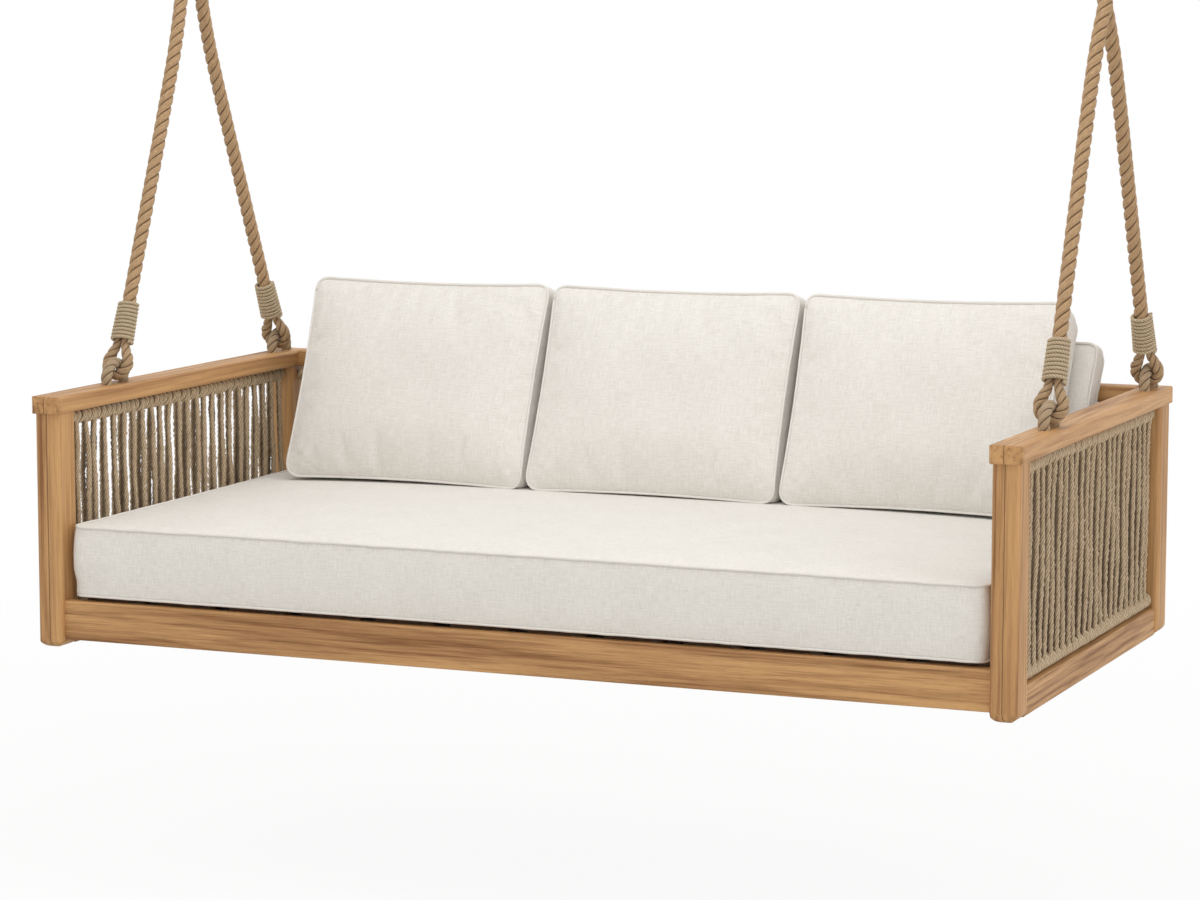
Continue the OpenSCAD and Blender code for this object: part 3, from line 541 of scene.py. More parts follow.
def bead_row(name, count, length, centre, along):
    """A row of slanting turns of cord round a rod. along is 'Y' for a side and 'X' for the back."""
    around_rod = 2 * math.pi * np.arange(BEAD_RINGS)[:, None] / BEAD_RINGS
    around_cord = 2 * math.pi * np.arange(BEAD_AROUND)[None, :] / BEAD_AROUND
    beads = []
    for b in range(count):
        middle = (b + 0.5 - count / 2) * length / count + chance.uniform(-BEAD_STRAY, BEAD_STRAY)
        tilt = BEAD_SLANT * chance.uniform(*BEAD_TILT)
        wide = 0.50 * length / count * chance.uniform(*BEAD_WIDE)
        r = LACE_R + BEAD_OUT + chance.uniform(*BEAD_HIGH) * np.cos(around_cord)
        run = middle + wide * np.sin(around_cord) + tilt * r * np.sin(around_rod + BEAD_SKEW)
        beads.append(np.stack([r * np.cos(around_rod), run, r * np.sin(around_rod)], axis=-1))
    p = np.array(beads).reshape(-1, 3)
    i, j = (n.ravel() for n in np.meshgrid(np.arange(BEAD_RINGS), np.arange(BEAD_AROUND), indexing="ij"))
    k, m = (i + 1) % BEAD_RINGS * BEAD_AROUND, (j + 1) % BEAD_AROUND
    quads = np.column_stack([i * BEAD_AROUND + j, k + j, k + m, i * BEAD_AROUND + m])
    faces = np.concatenate([quads + b * len(quads) for b in range(count)])
    u0, u1 = i / BEAD_RINGS * BEAD_TURN, (i + 1) / BEAD_RINGS * BEAD_TURN
    v0, v1 = j / BEAD_AROUND, (j + 1) / BEAD_AROUND
    uv = np.tile(np.stack([u0, v0, u1, v0, u1, v1, u0, v1], axis=1).reshape(-1, 4, 2), (count, 1, 1))
    if along == "X":
        p, faces, uv = p[:, [1, 0, 2]], faces[:, ::-1], uv[:, ::-1]
    row = new_mesh(name, p + centre, faces.tolist(), uv)
    # painted shade: a turn stays light where it faces out from the rod and darkens along its sides and
    # against the rod
    crown = np.tile(np.clip((np.cos(around_cord[0]) - 0.3) / 0.7, 0, 1), BEAD_RINGS * count)
    row.data.attributes.new("crown", "FLOAT", "POINT").data.foreach_set("value", crown.astype(np.float32))
    return row


for word, side in SIDES.items():
    for edge, z in (("top", ROD_TOP), ("low", ROD_LOW)):
        row = bead_row(f"cord_beads_{word}_{edge}", SIDE_BEADS, SIDE_BEADS_LONG,
                       (side * ARM_X, BED_Y, z), "Y")
        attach(row, "bed")
print("4 rows of", SIDE_BEADS, "beads on the side panels")

# %% [markdown]
# ## Laced back
# The back has the same lacing in three bays between its uprights. The cushions cover most
# of it from the front, but it is all there is to see from behind.

# %% The back panel's cord
RODS_Y = BED_Y + 0.486
POST_IN, STILE_X, STILE_W, BAY_LESS = 0.932, 0.31733, 0.040, 0.008
BAY_LOOPS = 16
BAYS = {"left": (-POST_IN, -STILE_X - STILE_W / 2),
        "middle": (-STILE_X + STILE_W / 2, STILE_X - STILE_W / 2),
        "right": (STILE_X + STILE_W / 2, POST_IN)}
back_cords = []
for word, (start, stop) in BAYS.items():
    wide, centre = stop - start - BAY_LESS, (start + stop) / 2
    route = lacing_route(wide, BAY_LOOPS, ROD_LOW_BACK, BACK_STEP)[:, [1, 0, 2]] + (centre, RODS_Y, 0)
    cord, length = lay_rope(f"laced_cord_back_{word}", curve_through(route, 2), CORD_R * BACK_FULL,
                            per_strand=4, step=0.004, **LACING_CORD)
    shade_between(cord, 1, RODS_Y)
    back_cords.append(cord)
    for edge, z in (("top", ROD_TOP), ("low", ROD_LOW_BACK)):
        back_cords.append(bead_row(f"cord_beads_back_{word}_{edge}", BAY_BEADS, wide,
                                   (centre, RODS_Y, z), "X"))
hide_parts("lacing_back")
for piece in back_cords:
    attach(piece, "bed")
print("the back has", len(back_cords), "pieces of lacing")

# %% [markdown]
# ## Boxed cushions
# A boxed cushion has a top and a bottom panel, a border strip between them and a corded
# seam, the piping, along both edges of the border. Its stuffing crowns the panels and
# pulls the sides in between the corners. It starts as a plain box that is a little too
# small. Blender's cloth, blown up by pressure from inside and held at its seams, then
# gives it its fullness. The piping is laid on the finished cover, so it follows it closely.


# %% A box of even cloth
def cloth_box(name, wide, deep, thick, corner, step):
    """A box about the origin in even faces about one step long, with rounded upright edges."""
    clear_selection()
    bpy.ops.mesh.primitive_grid_add(x_subdivisions=round(wide / step), y_subdivisions=round(deep / step),
                                    size=1, location=(0, 0, -thick / 2))
    box = bpy.context.active_object
    box.name = box.data.name = name
    box.scale = (wide, deep, 1)
    bpy.ops.object.transform_apply(location=True, rotation=False, scale=True)
    layers = max(3, round(thick / step))
    edit_all()
    for _ in range(layers):
        bpy.ops.mesh.extrude_region_move(TRANSFORM_OT_translate={"value": (0, 0, thick / layers)})
    bpy.ops.mesh.select_all(action="SELECT")
    bpy.ops.mesh.normals_make_consistent(inside=False)
    bpy.ops.object.mode_set(mode="OBJECT")
    p = coords(box)
    centre = np.sign(p[:, :2]) * (np.array((wide, deep)) / 2 - corner)
    into = np.maximum((p[:, :2] - centre) * np.sign(p[:, :2]), 0)
    round_off = np.where((into > 0).all(1), into.max(1) / np.linalg.norm(into + 1e-12, axis=1), 1)
    p[:, :2] += np.sign(p[:, :2]) * into * (round_off - 1)[:, None]
    set_coords(box, p)
    return box


def rim_edges(box):
    """The edges round the top and the bottom panel, where a flat face meets an upright one."""
    sides = {}
    for face in box.data.polygons:
        upright = abs(face.normal.z) < 0.5
        for key in face.edge_keys:
            sides.setdefault(key, set()).add(upright)
    return [e.index for e in box.data.edges if len(sides[tuple(sorted(e.vertices))]) == 2]


def seam_weights(p, wide, deep, thick, reach):
    """1 at the two seams round the box and 0 further than reach from them."""
    edge = np.abs(np.abs(p[:, 2]) - thick / 2)
    inner = np.maximum(np.abs(p[:, 0]) - wide / 2, np.abs(p[:, 1]) - deep / 2)
    off = np.sqrt(edge ** 2 + np.minimum(inner, 0) ** 2)
    return np.clip(1 - off / reach, 0, 1)


trial = cloth_box("trial", 0.2, 0.1, 0.05, 0.01, 0.01)
print("a trial box of cloth has", len(trial.data.polygons), "faces")
bpy.data.objects.remove(trial)

# %% Blow up a cushion
BLOW_FRAMES = 20


def stuff(piece, held, pressure, cap):
    """Cloth under pressure. held is how firmly each point keeps its place, and no point moves past cap."""
    before = coords(piece)
    pins = piece.vertex_groups.new(name="held")
    for index in np.nonzero(held > 0)[0]:
        pins.add([int(index)], float(held[index]), "REPLACE")
    cloth = piece.modifiers.new("stuffing", "CLOTH")
    s = cloth.settings
    s.use_pressure, s.uniform_pressure_force = True, pressure
    s.effector_weights.gravity = 0
    s.vertex_group_mass, s.pin_stiffness = "held", 1
    s.mass, s.quality = 0.3, 6
    s.tension_stiffness = s.compression_stiffness = 25
    s.shear_stiffness, s.bending_stiffness = 8, 0.6
    s.shrink_min = -0.018
    cloth.point_cache.frame_end = BLOW_FRAMES
    for f in range(1, BLOW_FRAMES + 1):
        bpy.context.scene.frame_set(f)
    moved = coords(piece.evaluated_get(bpy.context.evaluated_depsgraph_get())) - before
    piece.modifiers.remove(cloth)
    bpy.context.scene.frame_set(1)
    far = np.linalg.norm(moved, axis=1, keepdims=True) + 1e-9
    set_coords(piece, before + moved / far * cap * np.tanh(far / cap))


def softly_under(values, limit, ease=0.002):
    """The values, eased off so that none passes its limit."""
    over = values - limit + ease
    return np.where(over > 0, limit - ease + ease * np.tanh(over / ease), values)


def subdivide_softly(piece, rims):
    """One subdivision that keeps the rims fairly sharp, and smooth shading."""
    pick(piece)
    crease = piece.data.attributes.new("crease_edge", "FLOAT", "EDGE")
    values = np.zeros(len(piece.data.edges), np.float32)
    values[rims] = 0.7
    crease.data.foreach_set("value", values)
    finer = piece.modifiers.new("finer", "SUBSURF")
    finer.levels = finer.render_levels = 1
    bpy.ops.object.modifier_apply(modifier="finer")
    bpy.ops.object.shade_smooth()


def wrap(piece):
    """A UV map in metres that takes each face from its straightest side."""
    mesh = piece.data
    normal = np.empty(len(mesh.polygons) * 3)
    mesh.polygons.foreach_get("normal", normal)
    main = np.abs(normal.reshape(-1, 3)).argmax(1)
    loops = np.empty(len(mesh.loops), int)
    mesh.loops.foreach_get("vertex_index", loops)
    count = np.empty(len(mesh.polygons), int)
    mesh.polygons.foreach_get("loop_total", count)
    side, p = np.repeat(main, count), coords(piece)[loops]
    u = np.where(side == 0, p[:, 1], p[:, 0])
    v = np.where(side == 2, p[:, 1], p[:, 2])
    layer = mesh.uv_layers.new(name="weave")
    layer.data.foreach_set("uv", np.column_stack([u, v]).astype(np.float32).ravel())


print("stuffing ready")

# %% Piping
PIPING_R, PIPING_OUT, PIPING_STEP = 0.0026, 0.0013, 0.008


def on_cloth(box, line):
    """The line's points moved onto the cushion's surface, and out from it by a little."""
    landed = []
    for p in line:
        _, spot, normal, _ = box.closest_point_on_mesh(Vector(p))
        landed.append(np.array(spot) + np.array(normal) * PIPING_OUT)
    landed = np.array(landed)
    landed[-1] = landed[0]
    for _ in range(2):
        landed[1:-1] = (landed[:-2] + 2 * landed[1:-1] + landed[2:]) / 4
        ends = (landed[-2] + 2 * landed[0] + landed[1]) / 4
        landed[0] = landed[-1] = ends
    return landed


print("the piping is", round(2000 * PIPING_R, 1), "mm thick")


# %% Where a cushion lies or leans
def lying(at):
    """Moves a cushion's points to its place, flat on the slats."""
    return lambda p: p + np.array(at)


def leaning(deep, slope, at):
    """Stands a cushion on its front side and leans it back, with its foot level and its top square."""
    def move(p):
        up = p[:, 1] + deep / 2
        leaned = np.column_stack([p[:, 0], up * slope - p[:, 2], up + p[:, 2] * slope * up / deep])
        return leaned + np.array(at)
    return move


top_edge = leaning(0.4, 0.42, (0, 0, 0))(np.array([(0, 0.2, 0.0)]))
print("a cushion's top edge, leaned:", top_edge.round(3).tolist())

# %% One whole cushion
COVER_LESS = 0.001                  # how much smaller than its cushion the box starts
PULL, SEAM_IN = 0.006, 0.004        # sides drawn in between the corners, seams behind the border
RIM_DROP, RIM_REACH = 0.004, 0.028
TUCK_REACH, LIFT_REACH, HELD_REACH = 0.060, 0.05, 0.020
BLOWN_FROM = 0.55                   # the share of the crown that the cloth starts with
FLAT_LAYER = 0.006                  # of a cushion that lies flat, this much is held
SLACK = 0.0006                      # how far cloth may pass its cushion's side


def rim_loops(box, rims):
    """The rims' points in order, as one closed round for each panel."""
    links, rounds = {}, []
    for index in rims:
        a, b = box.data.edges[index].vertices
        links.setdefault(a, []).append(b)
        links.setdefault(b, []).append(a)
    while links:
        walk = [next(iter(links))]
        while True:
            onward = [n for n in links[walk[-1]] if n not in walk[-2:]]
            if not onward or onward[0] == walk[0]:
                break
            walk.append(onward[0])
        for point in walk:
            links.pop(point)
        rounds.append(walk)
    return rounds


def boxed_cushion(name, size, crown, under, step, place, corner, cap, pressure=4.0, lift=0.0, tuck=0.0):
    """A stuffed cushion and its piping, made about the origin and moved by place, a function of points.

    step is the size of a face of its cloth, and corner the radius of its upright edges. crown
    and under are how far the top and the bottom panel bulge. lift raises the lower seam off
    whatever the cushion lies on, and tuck rolls the front seam back along the foot of a
    leaning cushion."""
    wide, deep, thick = size
    box = cloth_box(name, wide - COVER_LESS, deep - COVER_LESS, thick - COVER_LESS, corner, step)
    p = coords(box)
    rims = rim_edges(box)
    u, v, s = (np.clip(p[:, k] / size[k] * 2, -1, 1) for k in range(3))
    full = (1 - u ** 4) * (1 - v ** 4)
    top = p[:, 2] > 0
    half_x = wide / 2 - PULL * (1 - v ** 2) - SEAM_IN * s ** 2
    half_y = deep / 2 - PULL * (1 - u ** 2) - SEAM_IN * s ** 2
    rim = np.minimum(wide / 2 - np.abs(p[:, 0]), deep / 2 - np.abs(p[:, 1]))
    dropped = RIM_DROP * np.clip(1 - rim / RIM_REACH, 0, 1) ** 2
    tucked = tuck * np.clip(1 - (p[:, 1] + deep / 2) / TUCK_REACH, 0, 1) ** 2
    lifted = lift * np.clip(1 - rim / LIFT_REACH, 0, 1) ** 1.5
    shift = -s * np.where(top, np.maximum(dropped, tucked), lifted)
    start = np.column_stack([p[:, 0] * half_x / wide * 2, p[:, 1] * half_y / deep * 2, p[:, 2] + shift])
    share = BLOWN_FROM
    start[:, 2] += np.where(top, crown, -under) * full * s ** 2 * share
    set_coords(box, start)
    held = seam_weights(p, wide, deep, thick, HELD_REACH)
    if under == 0:
        held = np.where(p[:, 2] < -thick / 2 + FLAT_LAYER, 1, held)
    stuff(box, held, pressure, cap)
    q, way = coords(box), np.sign(p)
    roof = thick / 2 + np.where(top, crown, under) * full - np.abs(shift)
    q[:, 2] = np.where(top, softly_under(q[:, 2], roof), -softly_under(-q[:, 2], roof))
    for axis, half in ((0, half_x), (1, half_y)):
        q[:, axis] = way[:, axis] * softly_under(q[:, axis] * way[:, axis], half + SLACK)
    set_coords(box, q)
    rounds = [(q[walk].mean(0)[2], q[walk]) for walk in rim_loops(box, rims)]
    subdivide_softly(box, rims)
    wrap(box)
    pieces = [box]
    for height, seam in rounds:
        line = on_cloth(box, even_steps([*seam, seam[0]], PIPING_STEP)[0])
        word = "top" if height > 0 else "low"
        pieces.append(lay_rope(f"{name}_piping_{word}", line, PIPING_R, lay=1, strands=1, per_strand=8,
                               depth=0, step=PIPING_STEP)[0])
    for piece in pieces:
        set_coords(piece, place(coords(piece)))
        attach(piece, "bed")
    return box


print("cushion maker ready")

# %% Seat cushion
SEAT_T, SEAT_CROWN, SEAT_WIDER = 0.144, 0.016, 0.004
low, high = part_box("seat_cushion")
seat_at = ((low.x + high.x) / 2, (low.y + high.y) / 2, low.z + SEAT_T / 2)
seat = boxed_cushion("seat_cover", (high.x - low.x + SEAT_WIDER, high.y - low.y, SEAT_T), crown=SEAT_CROWN,
                     under=0, step=0.0135, place=lying(seat_at), corner=0.024, cap=0.024, lift=0.006)
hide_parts("seat_cushion")
print("seat cushion:", len(seat.data.polygons), "faces")

# %% Back cushions
BACK_SIZE, BACK_CROWN, BACK_BULGE, BACK_LEAN = (0.545, 0.396, 0.090), 0.030, 0.014, 0.42447
BACK_APART, BACK_Y, BACK_Z = 0.548, 0.15396, -1.32592
for word, across in (("left", -1), ("middle", 0), ("right", 1)):
    place = leaning(BACK_SIZE[1], BACK_LEAN, (across * BACK_APART, BACK_Y, BACK_Z))
    pad = boxed_cushion(f"back_cover_{word}", BACK_SIZE, crown=BACK_CROWN, under=BACK_BULGE, step=0.0095,
                        place=place, corner=0.024, cap=0.022, tuck=0.018)
    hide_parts(f"back_cushion_{word}")
print("3 back cushions of", len(pad.data.polygons), "faces each")

# %% The long pad behind them
PAD_SIZE, PAD_CROWN, PAD_LEAN, PAD_AT = (1.720, 0.320, 0.052), 0.006, 0.47464, (0, 0.24385, -1.32908)
pad = boxed_cushion("rear_cover", PAD_SIZE, crown=PAD_CROWN, under=PAD_CROWN, step=0.013,
                    place=leaning(PAD_SIZE[1], PAD_LEAN, PAD_AT), corner=0.016, cap=0.006, pressure=2.0)
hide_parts("back_pad")
print("the long pad:", len(pad.data.polygons), "faces")

# %% [markdown]
# ## Webbing under the slats
# Two tapes are stapled to the underside of the slats and hold them at even distances. Their
# dark colour is painted shade, so no daylight shows through the gap between the rail and the cushion.

# %% Webbing
TAPE_L, TAPE_W, TAPE_T, TAPE_OFF = 1.868, 0.066, 0.002, 0.0002
TAPE_Y, SLAT_LOW = 0.4475, -1.5016
for word, y in (("front", -TAPE_Y), ("rear", 2 * BED_Y + TAPE_Y)):
    clear_selection()
    bpy.ops.mesh.primitive_cube_add(size=1, location=(0, y, SLAT_LOW - TAPE_T / 2 - TAPE_OFF),
                                    scale=(TAPE_L, TAPE_W, TAPE_T))
    tape = bpy.context.active_object
    tape.name = tape.data.name = f"webbing_{word}"
    bpy.ops.object.transform_apply(location=True, rotation=True, scale=True)
    edit_all()
    bpy.ops.mesh.bevel(offset=0.0006, segments=2)
    bpy.ops.object.mode_set(mode="OBJECT")
    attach(tape, "bed")
    print(f"{word} tape: {TAPE_W * 1000:.0f} mm wide and {TAPE_T * 1000:.0f} mm thick")

# %% [markdown]
# ## Finishes
# Colours are written as the eye sees them and turned into the linear values that Blender
# works with. A finish is a small net of nodes, so a few helpers add a node and feed its
# inputs in one line.


# %% Colours and node helpers
def colour(code):
    """A colour such as 'B58355' as linear values."""
    parts = [int(code[i:i + 2], 16) / 255 for i in (0, 2, 4)]
    return tuple(c / 12.92 if c <= 0.04045 else ((c + 0.055) / 1.055) ** 2.4 for c in parts) + (1,)


def new_group(name, takes, gives):
    """An empty shader group with named sockets: takes has names and default values, gives names and kinds."""
    group = bpy.data.node_groups.new(name, "ShaderNodeTree")
    for label, value in takes.items():
        kind = ("NodeSocketVector" if value == "vector" else
                "NodeSocketColor" if isinstance(value, tuple) else "NodeSocketFloat")
        socket = group.interface.new_socket(label, in_out="INPUT", socket_type=kind)
        if value != "vector":
            socket.default_value = value
    for label, kind in gives.items():
        group.interface.new_socket(label, in_out="OUTPUT", socket_type=f"NodeSocket{kind}")
    return group, group.nodes.new("NodeGroupInput").outputs, group.nodes.new("NodeGroupOutput")


def new_finish(name):
    """A new material, its node tree and its Principled shader."""
    mat = bpy.data.materials.new(name)
    mat.use_nodes = True
    return mat, mat.node_tree, mat.node_tree.nodes["Principled BSDF"]


def feed(tree, node, inputs):
    """Fill a node's inputs from values or other nodes' sockets."""
    for key, value in inputs.items():
        if isinstance(value, bpy.types.NodeSocket):
            tree.links.new(value, node.inputs[key])
        else:
            node.inputs[key].default_value = value


def wire(tree, node_type, inputs=None, **settings):
    """Add a node, set its properties and feed its inputs."""
    node = tree.nodes.new(node_type)
    for key, value in settings.items():
        setattr(node, key, value)
    feed(tree, node, inputs or {})
    return node


def maths(tree, operation, a, b=0.0, c=0.0):
    return wire(tree, "ShaderNodeMath", {0: a, 1: b, 2: c}, operation=operation).outputs[0]


def plus(tree, a, b):
    return maths(tree, "ADD", a, b)


def minus(tree, a, b):
    return maths(tree, "SUBTRACT", a, b)


def times(tree, a, b):
    return maths(tree, "MULTIPLY", a, b)


def scaled(tree, a, factor, offset):
    return maths(tree, "MULTIPLY_ADD", a, factor, offset)


def clamped(tree, a):
    return wire(tree, "ShaderNodeClamp", {0: a}).outputs[0]


def ramp(tree, value, low, high):
    """The value as a share from 0 below low to 1 above high."""
    return wire(tree, "ShaderNodeMapRange", {"Value": value, "From Min": low, "From Max": high}).outputs[0]


def vector(tree, x, y, z=0.0):
    return wire(tree, "ShaderNodeCombineXYZ", {0: x, 1: y, 2: z}).outputs[0]


def parts_of(tree, place):
    return wire(tree, "ShaderNodeSeparateXYZ", {0: place}).outputs


def noise(tree, place, scale, detail=2.0, roughness=0.5):
    return wire(tree, "ShaderNodeTexNoise", {"Vector": place, "Scale": scale, "Detail": detail,
                                             "Roughness": roughness}).outputs["Fac"]


def bumped(tree, height, strength, distance):
    return wire(tree, "ShaderNodeBump", {"Height": height, "Strength": strength,
                                         "Distance": distance}).outputs[0]


def between(tree, share, a, b):
    """A colour between a and b."""
    return wire(tree, "ShaderNodeMix", {0: share, 6: a, 7: b}, data_type="RGBA").outputs[2]


print("teak is", [round(c, 3) for c in colour("B58355")[:3]])

# %% [markdown]
# ## Teak
# The frame is oiled teak, and its posts and arms are glued up from two boards. Growth
# rings are shells round the heart of the tree, so a board shows them as long, uneven
# lines, with darker streaks where the grain is oily and fine pores along it. One group
# makes the figure, and each piece gets its own turn and shift of it, as each is cut from
# another board. Noise stretched along the grain gives streaks that start and end at
# random, which even stripes would not.

# %% Grain group
TEAK_LIGHT, TEAK_DARK = "CE9F6A", "875A33"
HEART = (0.21, 0.13)                # from the heart of the tree to a board's middle
RING_TURNS, RING_WOBBLE = 430.0, 60.0
grain, g_in, g_out = new_group(
    "wood_grain", {"Vector": "vector", "Light": colour(TEAK_LIGHT), "Dark": colour(TEAK_DARK)},
    {"Color": "Color", "Roughness": "Float", "Height": "Float"})
split = parts_of(grain, g_in["Vector"])


def grain_noise(along, scale, low, high, detail=2.0):
    """Noise on the board's coordinates, drawn out by squeezing them along the grain."""
    stretched = vector(grain, split[0], split[1], times(grain, split[2], along))
    return ramp(grain, noise(grain, stretched, scale, detail, 0.6), low, high)


# each takes the squeeze along the grain, the scale, the ends of the ramp and the detail
tone = grain_noise(0.12, 14.0, 0.34, 0.66)
wobble = grain_noise(0.13, 5.0, 0.0, 1.0)
streaks = grain_noise(0.030, 130.0, 0.47, 0.70, 4.0)
bands = grain_noise(0.035, 36.0, 0.36, 0.68, 3.0)
fibres = grain_noise(0.020, 520.0, 0.32, 0.72)
pores = grain_noise(0.035, 1100.0, 0.58, 0.70, 1.0)
off_x, off_y = (plus(grain, split[k], HEART[k]) for k in (0, 1))
radius = maths(grain, "SQRT", plus(grain, times(grain, off_x, off_x), times(grain, off_y, off_y)))
ring = plus(grain, times(grain, radius, RING_TURNS), times(grain, wobble, RING_WOBBLE))
rings = maths(grain, "POWER", scaled(grain, maths(grain, "SINE", ring), 0.5, 0.5), 2.5)
figure = times(grain, rings, scaled(grain, bands, 0.20, 0.02))
for part, weight in ((tone, 0.22), (bands, 0.34), (streaks, 0.24), (fibres, 0.22)):
    figure = plus(grain, figure, times(grain, part, weight))
figure = clamped(grain, scaled(grain, figure, 1.7, -0.36))
base = between(grain, figure, g_in["Light"], g_in["Dark"])
deep = times(grain, maths(grain, "MAXIMUM", pores, maths(grain, "POWER", streaks, 2.0)), 0.27)
feed(grain, g_out, {"Color": between(grain, deep, base, colour("5E3C20")),
                    "Roughness": scaled(grain, figure, 0.14, 0.46),
                    "Height": plus(grain, times(grain, pores, -0.6), times(grain, fibres, -0.3))})
print("grain group with", len(grain.nodes), "nodes")

# %% A board's material
TURN_TO = {"X": (0, math.radians(90), 0), "Y": (math.radians(90), 0, 0), "Z": (0, 0, 0)}
NEXT_BOARD = (0.31, 0.17, 0.43)     # how far along its tree the next board was cut
GLUE_HALF, GLUE_LINE, GLUE_SHOWS, PALER = 0.0009, "4E331C", 0.7, 0.30


def wood(name, along, shift, glue_x=None, light=TEAK_LIGHT, dark=TEAK_DARK):
    """Wood with its grain along an axis. Past a glue line at glue_x the next, paler board starts."""
    mat, tree, skin = new_finish(name)
    place = wire(tree, "ShaderNodeTexCoord").outputs["Object"]
    if glue_x:
        x = parts_of(tree, place)[0]
        past = maths(tree, "GREATER_THAN", x, glue_x)
        glue = maths(tree, "LESS_THAN", maths(tree, "ABSOLUTE", minus(tree, x, glue_x)), GLUE_HALF)
        jump = vector(tree, *(times(tree, past, s) for s in NEXT_BOARD))
        place = wire(tree, "ShaderNodeVectorMath", {0: place, 1: jump}, operation="ADD").outputs[0]
    turned = wire(tree, "ShaderNodeMapping", {"Vector": place, "Location": shift, "Rotation": TURN_TO[along]})
    figure = wire(tree, "ShaderNodeGroup", {"Vector": turned.outputs[0], "Light": colour(light),
                                            "Dark": colour(dark)}, node_tree=grain).outputs
    tint = figure["Color"]
    if glue_x:
        tint = between(tree, times(tree, past, PALER), tint, colour(light))
        tint = between(tree, times(tree, glue, GLUE_SHOWS), tint, colour(GLUE_LINE))
    feed(tree, skin, {"Base Color": tint, "Roughness": figure["Roughness"], "Specular IOR Level": 0.35,
                      "Normal": bumped(tree, figure["Height"], strength=0.25, distance=0.0006)})
    return mat


def finish_node(name, mat):
    """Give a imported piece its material."""
    mesh = nodes[name].data
    mesh.materials.clear()
    mesh.materials.append(mat)


print("wood maker ready")


# %% Planed boards
def planed(name, mat):
    """A packed board copied, its loose triangles joined and its rounded edges shaded round."""
    board = in_scene(f"planed_{name}", nodes[name].data.copy())
    board.data.transform(nodes[name].matrix_world)
    pick(board)
    edit_all()
    bpy.ops.mesh.remove_doubles(threshold=0.00002)
    bpy.ops.object.mode_set(mode="OBJECT")
    bpy.ops.object.shade_smooth_by_angle(angle=math.radians(32))
    board.modifiers.new("even", "WEIGHTED_NORMAL").keep_sharp = True
    bpy.ops.object.modifier_apply(modifier="even")
    board.data.materials.clear()
    board.data.materials.append(mat)
    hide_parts(name)
    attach(board, "bed")
    return board


# %% Teak on the frame
GLUE_X = ARM_X - 0.001
cuts = random.Random(7)


def own_shift():
    """Where in its tree a board was cut."""
    return tuple(round(cuts.uniform(-2, 2), 3) for _ in range(3))


boards = []
for word, side in SIDES.items():
    glue_x = side * GLUE_X
    boards.append(planed(f"arm_{word}", wood(f"teak_arm_{word}", "Y", own_shift(), glue_x)))
    boards.append(planed(f"side_rail_{word}", wood(f"teak_side_rail_{word}", "Y", own_shift())))
    for end in ("front", "rear"):
        boards.append(planed(f"post_{word}_{end}", wood(f"teak_post_{word}_{end}", "Z", own_shift(), glue_x)))
    boards.append(planed(f"back_stile_{word}", wood(f"teak_stile_{word}", "Z", own_shift())))
for name in ("front_rail", "back_rail", "back_top_rail"):
    boards.append(planed(name, wood(f"teak_{name}", "X", own_shift())))
print("teak on", len(boards), "boards, with", sum(len(b.data.polygons) for b in boards), "faces")

# %% [markdown]
# ## Plain wood
# The slats, what carries them and the dowels are plain wood. All of it is hidden but a
# slit between the front rail and the cushion. Its colour is darkened as painted shade, so that
# the slit reads as one line of shade.

# %% Plain wood under the cushion
PLAIN = {"ledger_front": "X", "ledger_back": "X", "bearer": "X", "slats": "Y", "dowels": "Z"}
for name, along in PLAIN.items():
    # painted shade: these colours are darker than the wood, standing for the shade in the slit under the
    # cushion
    finish_node(name, wood(f"plain_{name}", along, own_shift(), light="5E452E", dark="412C1A"))
print("plain wood on", len(PLAIN), "pieces")

# %% [markdown]
# ## Rope and cord
# Natural rope is dull and hairy. Each strand is made of many yarns that run almost along
# the rope, and the grooves between the strands are darkened: dirt, and painted shade. The UV
# map has the length in metres and one turn round the rope, so the yarns follow the rope everywhere.

# %% Yarn group
yarn, y_in, y_out = new_group(
    "laid_yarn", {"UV": "vector", "Crown": 1.0, "Light": colour("C2A273"), "Dark": colour("7D5F3A"),
                  "Lay": 10.0, "Yarns": 34.0, "Fleck": 900.0, "Groove": 0.45, "Streak": 0.22},
    {"Color": "Color", "Height": "Float"})
split = parts_of(yarn, y_in["UV"])
round_it = plus(yarn, split[1], times(yarn, split[0], y_in["Lay"]))
wound = times(yarn, round_it, times(yarn, y_in["Yarns"], 2 * math.pi))
lines = scaled(yarn, maths(yarn, "SINE", wound), 0.5, 0.5)
hair_at = vector(yarn, times(yarn, split[0], 0.12), times(yarn, round_it, 0.06))
hair = noise(yarn, hair_at, y_in["Fleck"], 3.0, 0.65)
patch = noise(yarn, y_in["UV"], 22.0)
tone = plus(yarn, times(yarn, minus(yarn, lines, 0.5), y_in["Streak"]), scaled(yarn, hair, 1.6, -0.31))
tone = plus(yarn, tone, scaled(yarn, patch, 0.5, -0.2))
# painted shade: where the crown is low, in grooves and where shade_between faded it, the tone darkens and
# mixes towards 33271B
bare = ramp(yarn, y_in["Crown"], 0.02, 0.55)
tone = times(yarn, clamped(yarn, tone), scaled(yarn, bare, 0.6, 0.4))
tone_and_shade = between(yarn, tone, y_in["Dark"], y_in["Light"])
shade = times(yarn, minus(yarn, 1.0, bare), y_in["Groove"])
feed(yarn, y_out, {"Color": between(yarn, shade, tone_and_shade, colour("33271B")),
                   "Height": plus(yarn, times(yarn, lines, 0.5), times(yarn, hair, 0.8))})
print("yarn group with", len(yarn.nodes), "nodes")


